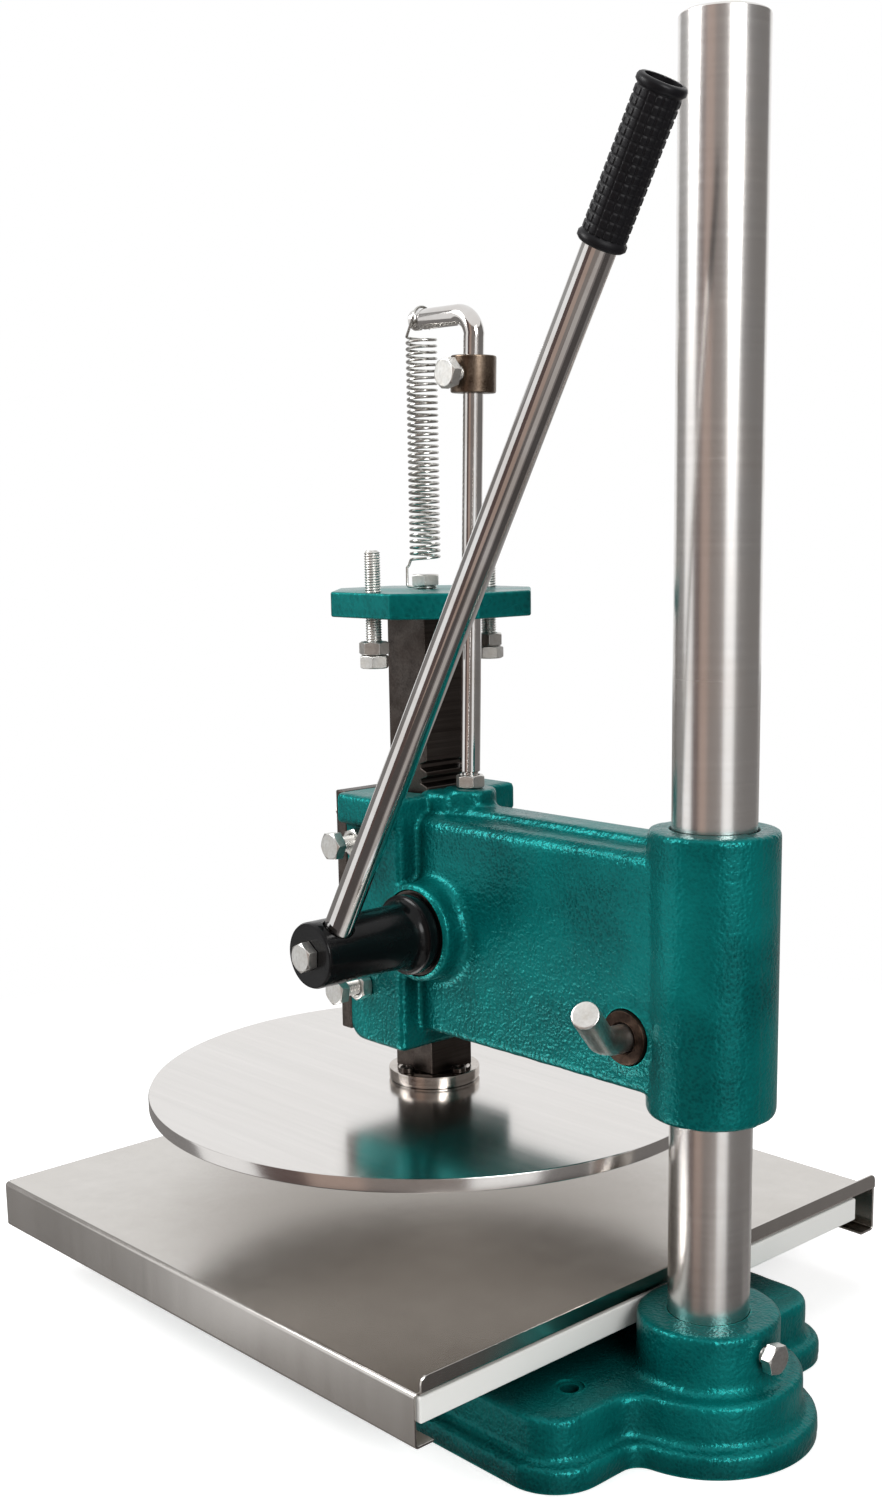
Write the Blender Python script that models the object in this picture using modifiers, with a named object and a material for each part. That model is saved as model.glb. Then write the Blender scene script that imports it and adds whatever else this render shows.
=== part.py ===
"""Manual dough press: a round pressing plate on a rack-driven ram, carried by an arm on a column.

The press stands on its cast base. The origin is on the ram's axis, at the underside of the base.
+X is the lever side, +Y points back to the column, and +Z is up.
"""
import math

import bmesh
import bpy
from mathutils import Matrix, Vector

MM = 0.001

# Clearances
FIT = 0.3 * MM                 # gap that fixed and sliding pieces keep to each other
THREAD_FIT = 0.4 * MM          # gap round a screw in its hole

# Column and throat
COLUMN_RADIUS = 19 * MM
COLUMN_TOP = 618.5 * MM
COLUMN_SEAT = 5 * MM           # height of the floor of the bore that the column stands on
DISC_RADIUS = 150 * MM
DISC_TO_COLUMN = 19 * MM
THROAT = DISC_RADIUS + DISC_TO_COLUMN + COLUMN_RADIUS

# Base casting
BASE_HALF_WIDTH = 103.5 * MM
BASE_FRONT = 130 * MM          # from the ram's axis to the front edge
BASE_TOP = 31 * MM
LOWER_TIER = 11 * MM
STEP_HEIGHT = 3 * MM
TIER_INSET = 7 * MM
TIER_ROUND = 3 * MM
FRONT_CORNER_RADIUS = 26 * MM
REAR_LOBE_RADIUS = 26 * MM
REAR_LOBE_BEFORE_COLUMN = 25 * MM
COLUMN_LOBE_WALL = 31.8 * MM     # from the column's surface to the lobe's lower edge
LOBE_FILLET = 10 * MM
BOSS_WALL = 14 * MM
BOSS_TOP = 58 * MM
BOSS_FOOT = 3 * MM
PAD_HALF_WIDTH = 70 * MM
PAD_FRONT = 100 * MM
PAD_REAR = 135 * MM
PAD_TOP = 43 * MM
POCKET_HEIGHT = 20 * MM
BASE_WALL = 12 * MM
RIB_HALF_WIDTH = 12 * MM
POCKET_REAR = 112 * MM
BOLT_HOLE_RADIUS = 4.5 * MM
REAR_HOLE_X = 63 * MM
REAR_HOLE_BEFORE_COLUMN = 29 * MM
FRONT_HOLE_INSET = 16 * MM     # from the front wall's inner side and the side wall's inner side

# Board and tray
BOARD_THICKNESS = 12.2 * MM
SHEET = 1.2 * MM
TRAY_WIDTH = 336.8 * MM
TRAY_DEPTH = 350.5 * MM
TRAY_SHIFT = -17.6 * MM        # the tray's middle lies this far to the left of the ram
TRAY_TO_BOSS = 0.6 * MM
TRAY_SKIRT = 25.9 * MM
TRAY_RETURN = 11 * MM
TRAY_LIP = 7.7 * MM
TRAY_BEND = 2.2 * MM           # outer radius of the folds
LIP_END_GAP = 3 * MM
LIP_CORNER = 4 * MM
BOARD_SIDE_GAP = 19 * MM       # between the board and the left skirt
BOARD_FRONT_GAP = 2 * MM
BOARD_SCREW_X = 50 * MM
BOARD_SCREW_Y = 80 * MM
BOARD_SCREW_RADIUS = 3 * MM
BOARD_SCREW_HEAD_RADIUS = 5.5 * MM
BOARD_SCREW_HEAD = 3 * MM
BOARD_SCREW_LENGTH = 22 * MM

# Fasteners: M8 hexagon screws and nuts
M8_RADIUS = 4 * MM
M8_FLATS = 13 * MM
M8_HEAD = 5.3 * MM
M8_NUT = 6.4 * MM

# Arm casting
ARM_BOTTOM = 153.4 * MM
HEAD_TOP = 283 * MM
HEAD_HALF_WIDTH = 38.5 * MM
HEAD_REAR = 19.5 * MM
HEAD_CHEEK = 6.1 * MM          # from the ram channel's mouth plane to the head's front face
HEAD_FLANGE_HALF_WIDTH = 44 * MM
HEAD_FLANGE_HEIGHT = 15 * MM
HEAD_TOE_RADIUS = 10 * MM
ROD_LUG_HALF_WIDTH = 17 * MM   # of the block between the head and the round boss
ROD_LUG_BLOCK_TOP = 284.6 * MM
ROD_LUG_RADIUS = 13 * MM       # of the round boss that carries the guide rod
ROD_LUG_TOP = 286.2 * MM
MACHINING = 2 * MM             # cast metal that is machined off the head's front face
WEB_HALF_WIDTH = 26 * MM
WEB_BOTTOM = 163.5 * MM
WEB_TOP = 273.5 * MM
WEB_EDGE = 6 * MM               # rounding of the web's two upper edges
CAP_HALF_WIDTH = 10 * MM       # of the low rail along the web's top
CAP_TOP = 277.5 * MM
SLEEVE_WALL = 10.4 * MM
SLEEVE_TOP = 284 * MM
PINION_BOSS_WALL = 2.9 * MM
PINION_BOSS_END = 40 * MM
CASTING_ROUND = 2.5 * MM

# Ram, rack and pinion
RAM_SIDE = 28 * MM
MODULE = 2.5 * MM
PINION_TEETH = 15
PRESSURE_ANGLE = math.radians(20)
RACK_ADDENDUM = 0.75 * MODULE
PINION_ADDENDUM = 0.9 * MODULE
TOOTH_ROOT_GAP = 0.6 * MM
BACKLASH = 0.5 * MM
PINION_HEIGHT = 218 * MM
RACK_BELOW_PINION = 4          # teeth below and above the one that meets the pinion at rest
RACK_ABOVE_PINION = 10
PITCH_RADIUS = MODULE * PINION_TEETH / 2
PINION_Y = RAM_SIDE / 2 - RACK_ADDENDUM + PITCH_RADIUS
RACK_ROOT_Y = RAM_SIDE / 2 - RACK_ADDENDUM - PINION_ADDENDUM - TOOTH_ROOT_GAP
JOURNAL_RADIUS = 21.2 * MM
END_JOURNAL_RADIUS = 10 * MM
STUB_RADIUS = 9 * MM
STUB_END = 78 * MM
END_WASHER_RADIUS = 15 * MM
END_WASHER = 2 * MM

# Press disc and flange
DISC_UNDERSIDE = 121 * MM
DISC_THICKNESS = 7 * MM
FLANGE_RADIUS = 24 * MM
FLANGE_THICKNESS = 6.5 * MM
SPIGOT_RADIUS = 10 * MM
SPIGOT_LENGTH = 5.5 * MM
FLANGE_SCREW_CIRCLE = 19 * MM
FLANGE_SCREW_RADIUS = 2.5 * MM
FLANGE_SCREW_HEAD_RADIUS = 3.8 * MM
FLANGE_SCREW_HEAD = 2.6 * MM

# Top plate, studs and stop nuts
PLATE_UNDERSIDE = 372 * MM
PLATE_THICKNESS = 12.4 * MM
PLATE_HALF_WIDTH = 47.5 * MM
PLATE_HALF_DEPTH = 52.5 * MM
PLATE_CORNER_CUT = 30 * MM
PLATE_SHIFT = 5 * MM           # the plate and its studs sit this far behind the ram's axis
STUD_SPACING = 39 * MM
STUD_ABOVE_PLATE = 20 * MM
STUD_BELOW_PLATE = 24.6 * MM
HOOK_SLOT = 2 * MM             # space under the bolt's head for the spring's end loop

# Ram guides in the head
FRONT_PLATE_THICKNESS = 7.7 * MM
FRONT_PLATE_HALF_WIDTH = 39 * MM
FRONT_PLATE_ABOVE_TOE = 4.6 * MM
FRONT_BOLT_X = 28 * MM
FRONT_BOLT_LENGTH = 14 * MM    # below the plate
FRONT_BOLT_LOW = 172 * MM
FRONT_BOLT_HIGH = 271.5 * MM
GIB_THICKNESS = 3.7 * MM
GIB_SCREW_Y = -9.5 * MM
GIB_SCREW_HEIGHTS = (184 * MM, 259 * MM)
GIB_SCREW_HEAD_FROM_FACE = 15.5 * MM

# Guide rod, stop collar and spring
ROD_RADIUS = 5 * MM
ROD_Y = 31 * MM
ROD_LEAN = math.radians(1.8)
ROD_TOP = 515 * MM
ROD_BEND = 11 * MM
ROD_END_Y = -4.5 * MM
ROD_THREAD_DEPTH = 19 * MM
ROD_PLATE_HOLE_RADIUS = 7.5 * MM
COLLAR_RADIUS = 11 * MM
COLLAR_HEIGHT = 17.5 * MM
COLLAR_BOTTOM = 478 * MM
COLLAR_SCREW_STAND_OFF = 3.2 * MM
SPRING_RADIUS = 7.2 * MM       # to the middle of the wire
WIRE_RADIUS = 0.7 * MM
SPRING_BOTTOM = 399 * MM
SPRING_TOP = 507 * MM
SPRING_TURNS = 36
SPRING_HOOK_Y = 1 * MM

# Lever
LEVER_X = 93 * MM
LEVER_LEAN = math.radians(30.1)
LEVER_LENGTH = 409 * MM
LEVER_RADIUS = 7 * MM
LEVER_SOCKET = 10 * MM         # depth of the rod's socket below the hub's axis
HUB_RADIUS = 16 * MM
HUB_END = 105.2 * MM
HUB_NECK = 53 * MM             # where the flare beside the flange ends
HUB_FLANGE_RADIUS = 20 * MM
HUB_FLANGE = 5.7 * MM
GRIP_LENGTH = 61 * MM
GRIP_RADIUS = 9 * MM
GRIP_RIM_RADIUS = 9.8 * MM
GRIP_OVERHANG = 4 * MM         # the grip's open end stands this far past the rod

# Clamp
CLAMP_RADIUS = 13 * MM
CLAMP_BEFORE_COLUMN = 28.2 * MM
CLAMP_HEIGHT = 188.5 * MM
CLAMP_BUSH_INNER = 5 * MM
CLAMP_BUSH_PROUD = 3 * MM
CLAMP_SCREW_RADIUS = 6.5 * MM
CLAMP_ELBOW_X = 41 * MM
CLAMP_CRANK = Vector((29, 15.7, 22.5)) * MM

# Set screw in the column boss
SET_SCREW_HEIGHT = 46.4 * MM
SET_SCREW_STAND_OFF = 3 * MM

# Values that follow from the ones above
BOSS_RADIUS = COLUMN_RADIUS + BOSS_WALL
SLEEVE_RADIUS = COLUMN_RADIUS + SLEEVE_WALL
CHANNEL_HALF = RAM_SIDE / 2 + FIT
CHANNEL_GIB_SIDE = RAM_SIDE / 2 + FIT + GIB_THICKNESS + FIT
HEAD_FRONT = -(CHANNEL_HALF + HEAD_CHEEK)
FRONT_PLATE_BACK = HEAD_FRONT - FIT
BOARD_UNDERSIDE = PAD_TOP + FIT
BOARD_TOP = BOARD_UNDERSIDE + BOARD_THICKNESS
TRAY_TOP = BOARD_TOP + FIT + SHEET
TRAY_REAR = THROAT - BOSS_RADIUS - TRAY_TO_BOSS
TRAY_FRONT = TRAY_REAR - TRAY_DEPTH
TRAY_RIGHT = TRAY_SHIFT + TRAY_WIDTH / 2
TRAY_LEFT = TRAY_SHIFT - TRAY_WIDTH / 2
CLAMP_Y = THROAT - CLAMP_BEFORE_COLUMN
BORE_RADIUS = JOURNAL_RADIUS + THREAD_FIT
PINION_BOSS_RADIUS = BORE_RADIUS + PINION_BOSS_WALL
DISC_TOP = DISC_UNDERSIDE + DISC_THICKNESS
FLANGE_TOP = DISC_TOP + FIT + FLANGE_THICKNESS
RAM_BOTTOM = FLANGE_TOP + FIT
RAM_TOP = PLATE_UNDERSIDE - FIT
PLATE_TOP = PLATE_UNDERSIDE + PLATE_THICKNESS
ROD_NUT_TOP = ROD_LUG_TOP + FIT + M8_NUT

# Facets of round pieces
ROUND_LARGE = 96
ROUND_MEDIUM = 48
ROUND_SMALL = 20

AXIS_TURN = {"X": (0, math.pi / 2, 0), "Y": (-math.pi / 2, 0, 0), "Z": (0, 0, 0)}
SIDE_VIEW_TURN = (math.pi / 2, 0, math.pi / 2)   # an outline's x and y become Y and Z
FRONT_VIEW_TURN = (math.pi / 2, 0, 0)            # an outline's x and y become X and Z


def clear_scene():
    """Remove what the scene already holds."""
    for old in list(bpy.data.objects):
        bpy.data.objects.remove(old, do_unlink=True)


def new_collection(name):
    """Make a collection under the scene's own."""
    collection = bpy.data.collections.new(name)
    bpy.context.scene.collection.children.link(collection)
    return collection


def make_material(name, colour, roughness, metallic):
    """Make a Principled material from a linear colour, a roughness and a metallic value."""
    material = bpy.data.materials.new(name)
    material.use_nodes = True
    shader = material.node_tree.nodes["Principled BSDF"]
    shader.inputs["Base Color"].default_value = (*colour, 1)
    shader.inputs["Roughness"].default_value = roughness
    shader.inputs["Metallic"].default_value = metallic
    material.diffuse_color = (*colour, 1)
    return material


clear_scene()
PARTS = new_collection("dough_press")
CUTTERS = new_collection("cutters")

GREEN_ENAMEL = make_material("green_enamel", (0.005, 0.14, 0.115), 0.35, 0.2)
STAINLESS = make_material("stainless", (0.62, 0.60, 0.57), 0.25, 1)
POLISHED = make_material("polished_steel", (0.75, 0.74, 0.72), 0.08, 1)
ZINC = make_material("zinc_plate", (0.66, 0.66, 0.64), 0.3, 1)
DARK_STEEL = make_material("dark_steel", (0.06, 0.048, 0.042), 0.45, 1)
BLACK_GLOSS = make_material("black_gloss", (0.008, 0.008, 0.009), 0.15, 0)
BLACK_PLASTIC = make_material("black_plastic", (0.012, 0.012, 0.013), 0.5, 0)
WHITE_BOARD = make_material("white_board", (0.82, 0.82, 0.79), 0.5, 0)
CHROME = make_material("chrome", (0.78, 0.78, 0.77), 0.08, 1)
BROWN_STEEL = make_material("brown_steel", (0.16, 0.12, 0.085), 0.4, 1)
SPRING_WIRE = make_material("spring_wire", (0.55, 0.55, 0.52), 0.3, 1)


# ---------------------------------------------------------------- shape helpers

def put_in(collection, obj):
    """Put an object in one collection only."""
    for owner in list(obj.users_collection):
        owner.objects.unlink(obj)
    collection.objects.link(obj)
    return obj


def from_bmesh(name, bm, location=(0, 0, 0), rotation=(0, 0, 0)):
    """Turn a bmesh into a scene object."""
    mesh = bpy.data.meshes.new(name)
    bm.to_mesh(mesh)
    bm.free()
    obj = bpy.data.objects.new(name, mesh)
    obj.location = location
    obj.rotation_euler = rotation
    return put_in(PARTS, obj)


def box(name, low, high):
    """A block between two corners."""
    low, high = Vector(low), Vector(high)
    bm = bmesh.new()
    bmesh.ops.create_cube(bm, size=1)
    bmesh.ops.scale(bm, vec=high - low, verts=bm.verts)
    return from_bmesh(name, bm, (low + high) / 2)


def cylinder(name, radius, start, end, axis="Z", centre=(0, 0), segments=ROUND_MEDIUM, end_radius=None):
    """A cylinder or cone between two places on an axis.

    The centre gives the two other coordinates, in the order X, Y, Z.
    """
    bm = bmesh.new()
    last = radius if end_radius is None else end_radius
    bmesh.ops.create_cone(bm, cap_ends=True, segments=segments, radius1=radius, radius2=last,
                          depth=end - start)
    return from_bmesh(name, bm, on_axis(axis, (start + end) / 2, centre), AXIS_TURN[axis])


def on_axis(axis, along, centre):
    """The point at a place along an axis, with the two other coordinates given."""
    first, second = centre
    return {"X": (along, first, second), "Y": (first, along, second), "Z": (first, second, along)}[axis]


def turned(name, profile, axis="Z", centre=(0, 0), segments=ROUND_MEDIUM, closed=False):
    """A turned piece: (radius, height) points, outer side from top to bottom, swept round an axis.

    An open profile gets flat ends; a closed one makes a ring.
    """
    bm = bmesh.new()
    loops = []
    for radius, height in profile:
        angles = [2 * math.pi * (step + 0.5) / segments for step in range(segments)]
        loops.append([bm.verts.new((radius * math.cos(a), radius * math.sin(a), height))
                      for a in angles])
    pairs = list(zip(loops, loops[1:]))
    if closed:
        pairs.append((loops[-1], loops[0]))
    for upper, lower in pairs:
        for i in range(segments):
            j = (i + 1) % segments
            bm.faces.new((lower[i], lower[j], upper[j], upper[i]))
    if not closed:
        bm.faces.new(loops[0])
        bm.faces.new(list(reversed(loops[-1])))
    return from_bmesh(name, bm, on_axis(axis, 0, centre), AXIS_TURN[axis])


def ring(name, inner, outer, start, end, axis="Z", centre=(0, 0), segments=ROUND_MEDIUM):
    """A plain tube or washer."""
    profile = [(outer, end), (outer, start), (inner, start), (inner, end)]
    return turned(name, profile, axis, centre, segments, closed=True)


def as_mesh(obj):
    """Turn a curve object into a mesh object of the same name and place, with its caps welded."""
    bpy.context.view_layer.update()
    evaluated = obj.evaluated_get(bpy.context.evaluated_depsgraph_get())
    mesh = bpy.data.meshes.new_from_object(evaluated)
    bm = bmesh.new()
    bm.from_mesh(mesh)
    bmesh.ops.remove_doubles(bm, verts=bm.verts, dist=0.000001)
    bm.to_mesh(mesh)
    bm.free()
    name, matrix, curve = obj.name, obj.matrix_world.copy(), obj.data
    bpy.data.objects.remove(obj)
    bpy.data.curves.remove(curve)
    mesh.name = name
    solid = bpy.data.objects.new(name, mesh)
    solid.matrix_world = matrix
    return put_in(PARTS, solid)


def outline_solid(name, points, thickness, location=(0, 0, 0), rotation=(0, 0, 0)):
    """A flat outline given a thickness, half to each side of its own plane."""
    curve = bpy.data.curves.new(name, "CURVE")
    curve.dimensions = "2D"
    curve.fill_mode = "BOTH"
    curve.extrude = thickness / 2
    spline = curve.splines.new("POLY")
    spline.points.add(len(points) - 1)
    for target, (x, y) in zip(spline.points, points):
        target.co = (x, y, 0, 1)
    spline.use_cyclic_u = True
    obj = bpy.data.objects.new(name, curve)
    obj.location = location
    obj.rotation_euler = rotation
    return as_mesh(put_in(PARTS, obj))


def wire(name, points, radius, sides, scales=None):
    """A round bar along a line of points; scales thins it at some of them."""
    curve = bpy.data.curves.new(name, "CURVE")
    curve.dimensions = "3D"
    curve.bevel_depth = radius
    curve.bevel_resolution = sides // 2 - 2
    curve.use_fill_caps = True
    spline = curve.splines.new("POLY")
    spline.points.add(len(points) - 1)
    for index, point in enumerate(points):
        spline.points[index].co = (*point, 1)
        spline.points[index].radius = 1 if scales is None else scales[index]
    return as_mesh(put_in(PARTS, bpy.data.objects.new(name, curve)))


def hexagon(name, flats, start, end, axis="Z", centre=(0, 0)):
    """A hexagonal prism."""
    return cylinder(name, flats / 2 / math.cos(math.pi / 6), start, end, axis, centre, segments=6)


def use_as_tool(obj):
    """Move an object among the cutters."""
    obj.hide_render = True
    obj.display_type = "WIRE"
    return put_in(CUTTERS, obj)


def combine(target, operation, tools):
    """Add one Boolean modifier for each tool."""
    for tool in tools:
        modifier = target.modifiers.new(tool.name, "BOOLEAN")
        modifier.operation = operation
        modifier.solver = "EXACT"
        modifier.object = use_as_tool(tool)
    return target


def join(target, *tools):
    """Unite the tools with the target."""
    return combine(target, "UNION", tools)


def cut(target, *tools):
    """Cut the tools out of the target."""
    return combine(target, "DIFFERENCE", tools)


def round_edges(obj, width, segments=2, angle=math.radians(50)):
    """Round the sharp edges of an object."""
    bevel = obj.modifiers.new("round", "BEVEL")
    bevel.width = width
    bevel.segments = segments
    bevel.limit_method = "ANGLE"
    bevel.angle_limit = angle
    return obj


def arc(centre, radius, start, end, steps):
    """Points on an arc, with angles in degrees."""
    angles = [math.radians(start + (end - start) * step / steps) for step in range(steps + 1)]
    return [(centre[0] + radius * math.cos(a), centre[1] + radius * math.sin(a)) for a in angles]


def frame_empty(name, location):
    """An empty on a joint's axis, which the pieces that move on it are parented to."""
    empty = bpy.data.objects.new(name, None)
    empty.empty_display_size = 0.03
    empty.location = location
    return put_in(PARTS, empty)


def finish(obj, material, parent):
    """Give a piece its material, smooth its round faces and parent it where it stands."""
    obj.data.materials.clear()
    obj.data.materials.append(material)
    obj.data.shade_smooth()
    obj.data.set_sharp_from_angle(angle=math.radians(35))
    obj.parent = parent
    obj.matrix_parent_inverse = Matrix.Translation(parent.location).inverted()
    return obj


# ---------------------------------------------------------------- fasteners

def m8_screw(name, axis, centre, seat, head_end, tip):
    """An M8 hexagon screw: the head from seat to head_end, the shank from seat to tip."""
    head = hexagon(name, M8_FLATS, min(seat, head_end), max(seat, head_end), axis, centre)
    inside = (seat + head_end) / 2
    shank = cylinder(name + "_shank", M8_RADIUS, min(inside, tip), max(inside, tip), axis, centre,
                     ROUND_SMALL)
    return join(head, shank)


def m8_nut(name, axis, centre, start, end):
    """An M8 nut round a screw that keeps its clearance."""
    nut = hexagon(name, M8_FLATS, start, end, axis, centre)
    return cut(nut, m8_hole(name + "_bore", axis, centre, start - MM, end + MM))


def m8_hole(name, axis, centre, start, end):
    """A cutter for an M8 screw."""
    return cylinder(name, M8_RADIUS + THREAD_FIT, start, end, axis, centre, ROUND_SMALL)


# ---------------------------------------------------------------- base

def base_outline(inset):
    """The base's outline, moved inwards by an inset: corner lobes and a lobe round the column."""
    front_x = BASE_HALF_WIDTH - FRONT_CORNER_RADIUS
    lobe_x = BASE_HALF_WIDTH - REAR_LOBE_RADIUS
    lobe_y = THROAT - REAR_LOBE_BEFORE_COLUMN
    column_lobe = COLUMN_RADIUS + COLUMN_LOBE_WALL
    fillet_y = lobe_y + REAR_LOBE_RADIUS + LOBE_FILLET
    fillet_x = math.sqrt((column_lobe + LOBE_FILLET) ** 2 - (fillet_y - THROAT) ** 2)
    meet = math.degrees(math.atan2(fillet_y - THROAT, fillet_x))
    half = arc((front_x, -BASE_FRONT + FRONT_CORNER_RADIUS), FRONT_CORNER_RADIUS - inset, -90, 0, 7)
    half += arc((lobe_x, lobe_y), REAR_LOBE_RADIUS - inset, 0, 90, 8)
    half += arc((fillet_x, fillet_y), LOBE_FILLET + inset, -90, meet - 180, 5)
    half += arc((0, THROAT), column_lobe - inset, meet, 90, 9)[1:]
    other = [(-x, y) for x, y in reversed(half[:-1])]
    return half + other


def skirt_levels():
    """Heights and insets of the two-tier skirt, from the floor up, with its round edges."""
    levels = [(0, 0)]
    for angle in (0, 30, 60, 90):
        a = math.radians(angle)
        levels.append((LOWER_TIER - TIER_ROUND * (1 - math.sin(a)), TIER_ROUND * (1 - math.cos(a))))
    levels.append((LOWER_TIER + STEP_HEIGHT * 0.3, TIER_INSET - STEP_HEIGHT * 0.35))
    levels.append((LOWER_TIER + STEP_HEIGHT, TIER_INSET))
    for angle in (0, 30, 60, 90):
        a = math.radians(angle)
        levels.append((BASE_TOP - TIER_ROUND * (1 - math.sin(a)),
                       TIER_INSET + TIER_ROUND * (1 - math.cos(a))))
    return levels


def skirt_body(name):
    """The base's outside: outlines with unlike insets, lofted into one closed skin."""
    bm = bmesh.new()
    loops = []
    for height, inset in skirt_levels():
        loops.append([bm.verts.new((x, y, height)) for x, y in base_outline(inset)])
    count = len(loops[0])
    for lower, upper in zip(loops, loops[1:]):
        for i in range(count):
            j = (i + 1) % count
            bm.faces.new((lower[i], lower[j], upper[j], upper[i]))
    bm.faces.new(list(reversed(loops[0])))
    bm.faces.new(loops[-1])
    return from_bmesh(name, bm)


def build_base(parent):
    """The cast base with its pad, column boss, pockets and holes."""
    base = skirt_body("base_casting")
    foot = BOSS_RADIUS + BOSS_FOOT
    boss = turned("base_boss", [
        (BOSS_RADIUS - 1.5 * MM, BOSS_TOP), (BOSS_RADIUS - 0.4 * MM, BOSS_TOP - 0.4 * MM),
        (BOSS_RADIUS, BOSS_TOP - 1.5 * MM), (BOSS_RADIUS, BASE_TOP + BOSS_FOOT),
        (BOSS_RADIUS + 0.3 * BOSS_FOOT, BASE_TOP + 0.3 * BOSS_FOOT), (foot, BASE_TOP - 0.5 * MM),
        (foot, BASE_TOP - 5 * MM)], centre=(0, THROAT), segments=ROUND_MEDIUM)
    pad = box("base_pad", (-PAD_HALF_WIDTH, -PAD_FRONT, BASE_TOP - 5 * MM),
              (PAD_HALF_WIDTH, PAD_REAR, PAD_TOP))
    round_edges(pad, 3 * MM)
    join(base, boss, pad)
    pocket_side = BASE_HALF_WIDTH - TIER_INSET - BASE_WALL
    pocket_front = -(BASE_FRONT - TIER_INSET - BASE_WALL)
    pockets = []
    for side in (-1, 1):
        edges = sorted((side * RIB_HALF_WIDTH, side * pocket_side))
        pockets.append(box("base_pocket", (edges[0], pocket_front, -MM),
                           (edges[1], POCKET_REAR, POCKET_HEIGHT)))
    bore = cylinder("base_bore", COLUMN_RADIUS + FIT, COLUMN_SEAT, BOSS_TOP + MM,
                    centre=(0, THROAT), segments=ROUND_MEDIUM)
    holes = [cylinder("base_hole", BOLT_HOLE_RADIUS, -MM, BASE_TOP + MM, centre=place,
                      segments=ROUND_SMALL) for place in base_hole_places()]
    screw_hole = m8_hole("base_set_screw_hole", "Y", (0, SET_SCREW_HEIGHT),
                         THROAT + COLUMN_RADIUS - MM, THROAT + BOSS_RADIUS + 5 * MM)
    board_holes = [cylinder("base_board_hole", BOARD_SCREW_RADIUS + FIT,
                            BOARD_TOP - BOARD_SCREW_HEAD - BOARD_SCREW_LENGTH - MM, PAD_TOP + MM,
                            centre=place, segments=ROUND_SMALL) for place in board_screw_places()]
    cut(base, *pockets, bore, *holes, screw_hole, *board_holes)
    finish(base, GREEN_ENAMEL, parent)


def base_hole_places():
    """The four bolt holes, in the front corners and beside the column."""
    front_x = BASE_HALF_WIDTH - TIER_INSET - FRONT_HOLE_INSET
    front_y = -(BASE_FRONT - TIER_INSET - FRONT_HOLE_INSET)
    rear_y = THROAT - REAR_HOLE_BEFORE_COLUMN
    return [(side * x, y) for x, y in ((front_x, front_y), (REAR_HOLE_X, rear_y)) for side in (-1, 1)]


def build_column(parent):
    """The column bar and its chamfered top."""
    chamfer = 1.5 * MM
    column = turned("column", [(COLUMN_RADIUS - chamfer, COLUMN_TOP),
                               (COLUMN_RADIUS, COLUMN_TOP - chamfer),
                               (COLUMN_RADIUS, COLUMN_SEAT + FIT)],
                    centre=(0, THROAT), segments=ROUND_MEDIUM)
    finish(column, STAINLESS, parent)


def build_set_screw(parent):
    """The screw in the boss that holds the column."""
    seat = THROAT + BOSS_RADIUS + SET_SCREW_STAND_OFF
    screw = m8_screw("column_set_screw", "Y", (0, SET_SCREW_HEIGHT), seat, seat + M8_HEAD,
                     THROAT + COLUMN_RADIUS + FIT)
    finish(screw, ZINC, parent)


def board_screw_places():
    """Places of the four screws that hold the board on its pad."""
    return [(x, y) for y in (-BOARD_SCREW_Y, BOARD_SCREW_Y) for x in (-BOARD_SCREW_X, BOARD_SCREW_X)]


def build_board(parent):
    """The white board and its four sunk screws."""
    board = box("work_board", (TRAY_LEFT + SHEET + BOARD_SIDE_GAP, TRAY_FRONT + SHEET + BOARD_FRONT_GAP,
                               BOARD_UNDERSIDE),
                (TRAY_RIGHT - SHEET - 2 * FIT, TRAY_REAR, BOARD_TOP))
    head_seat = BOARD_TOP - BOARD_SCREW_HEAD
    for index, place in enumerate(board_screw_places(), start=1):
        sink = cylinder("board_sink", BOARD_SCREW_HEAD_RADIUS + FIT, head_seat - FIT, BOARD_TOP + MM,
                        centre=place, segments=ROUND_SMALL)
        hole = cylinder("board_hole", BOARD_SCREW_RADIUS + FIT, BOARD_UNDERSIDE - MM, BOARD_TOP,
                        centre=place, segments=ROUND_SMALL)
        cut(board, hole, sink)
        top = BOARD_TOP - FIT
        screw = cylinder(f"board_screw_{index}", BOARD_SCREW_HEAD_RADIUS, head_seat, top,
                         centre=place, segments=ROUND_SMALL)
        shank = cylinder("board_screw_shank", BOARD_SCREW_RADIUS, head_seat - BOARD_SCREW_LENGTH,
                         (head_seat + top) / 2, centre=place, segments=ROUND_SMALL)
        finish(join(screw, shank), ZINC, parent)
    finish(board, WHITE_BOARD, parent)


def tray_section():
    """The folded sheet's section across the tray: top, two skirts and two inward returns."""
    bend, inner = TRAY_BEND, TRAY_BEND - SHEET
    low, high = TRAY_TOP - TRAY_SKIRT, TRAY_TOP
    half = TRAY_WIDTH / 2
    tip = half - TRAY_RETURN
    right = [(tip, low)]
    right += arc((half - bend, low + bend), bend, -90, 0, 3)
    right += arc((half - bend, high - bend), bend, 0, 90, 3)
    inside = [(tip, low + SHEET)]
    inside += arc((half - bend, low + bend), inner, -90, 0, 3)
    inside += arc((half - bend, high - bend), inner, 0, 90, 3)
    outer = right + [(-x, z) for x, z in reversed(right)]
    return outer + [(-x, z) for x, z in inside] + list(reversed(inside))


def lip_outline():
    """The rear lip's outline, seen from behind, with round upper corners."""
    low, high = -0.7 * SHEET, TRAY_LIP
    half = TRAY_WIDTH / 2 - LIP_END_GAP
    corner = arc((half - LIP_CORNER, high - LIP_CORNER), LIP_CORNER, 0, 90, 4)
    return [(half, low)] + corner + [(-x, z) for x, z in reversed(corner)] + [(-half, low)]


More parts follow.
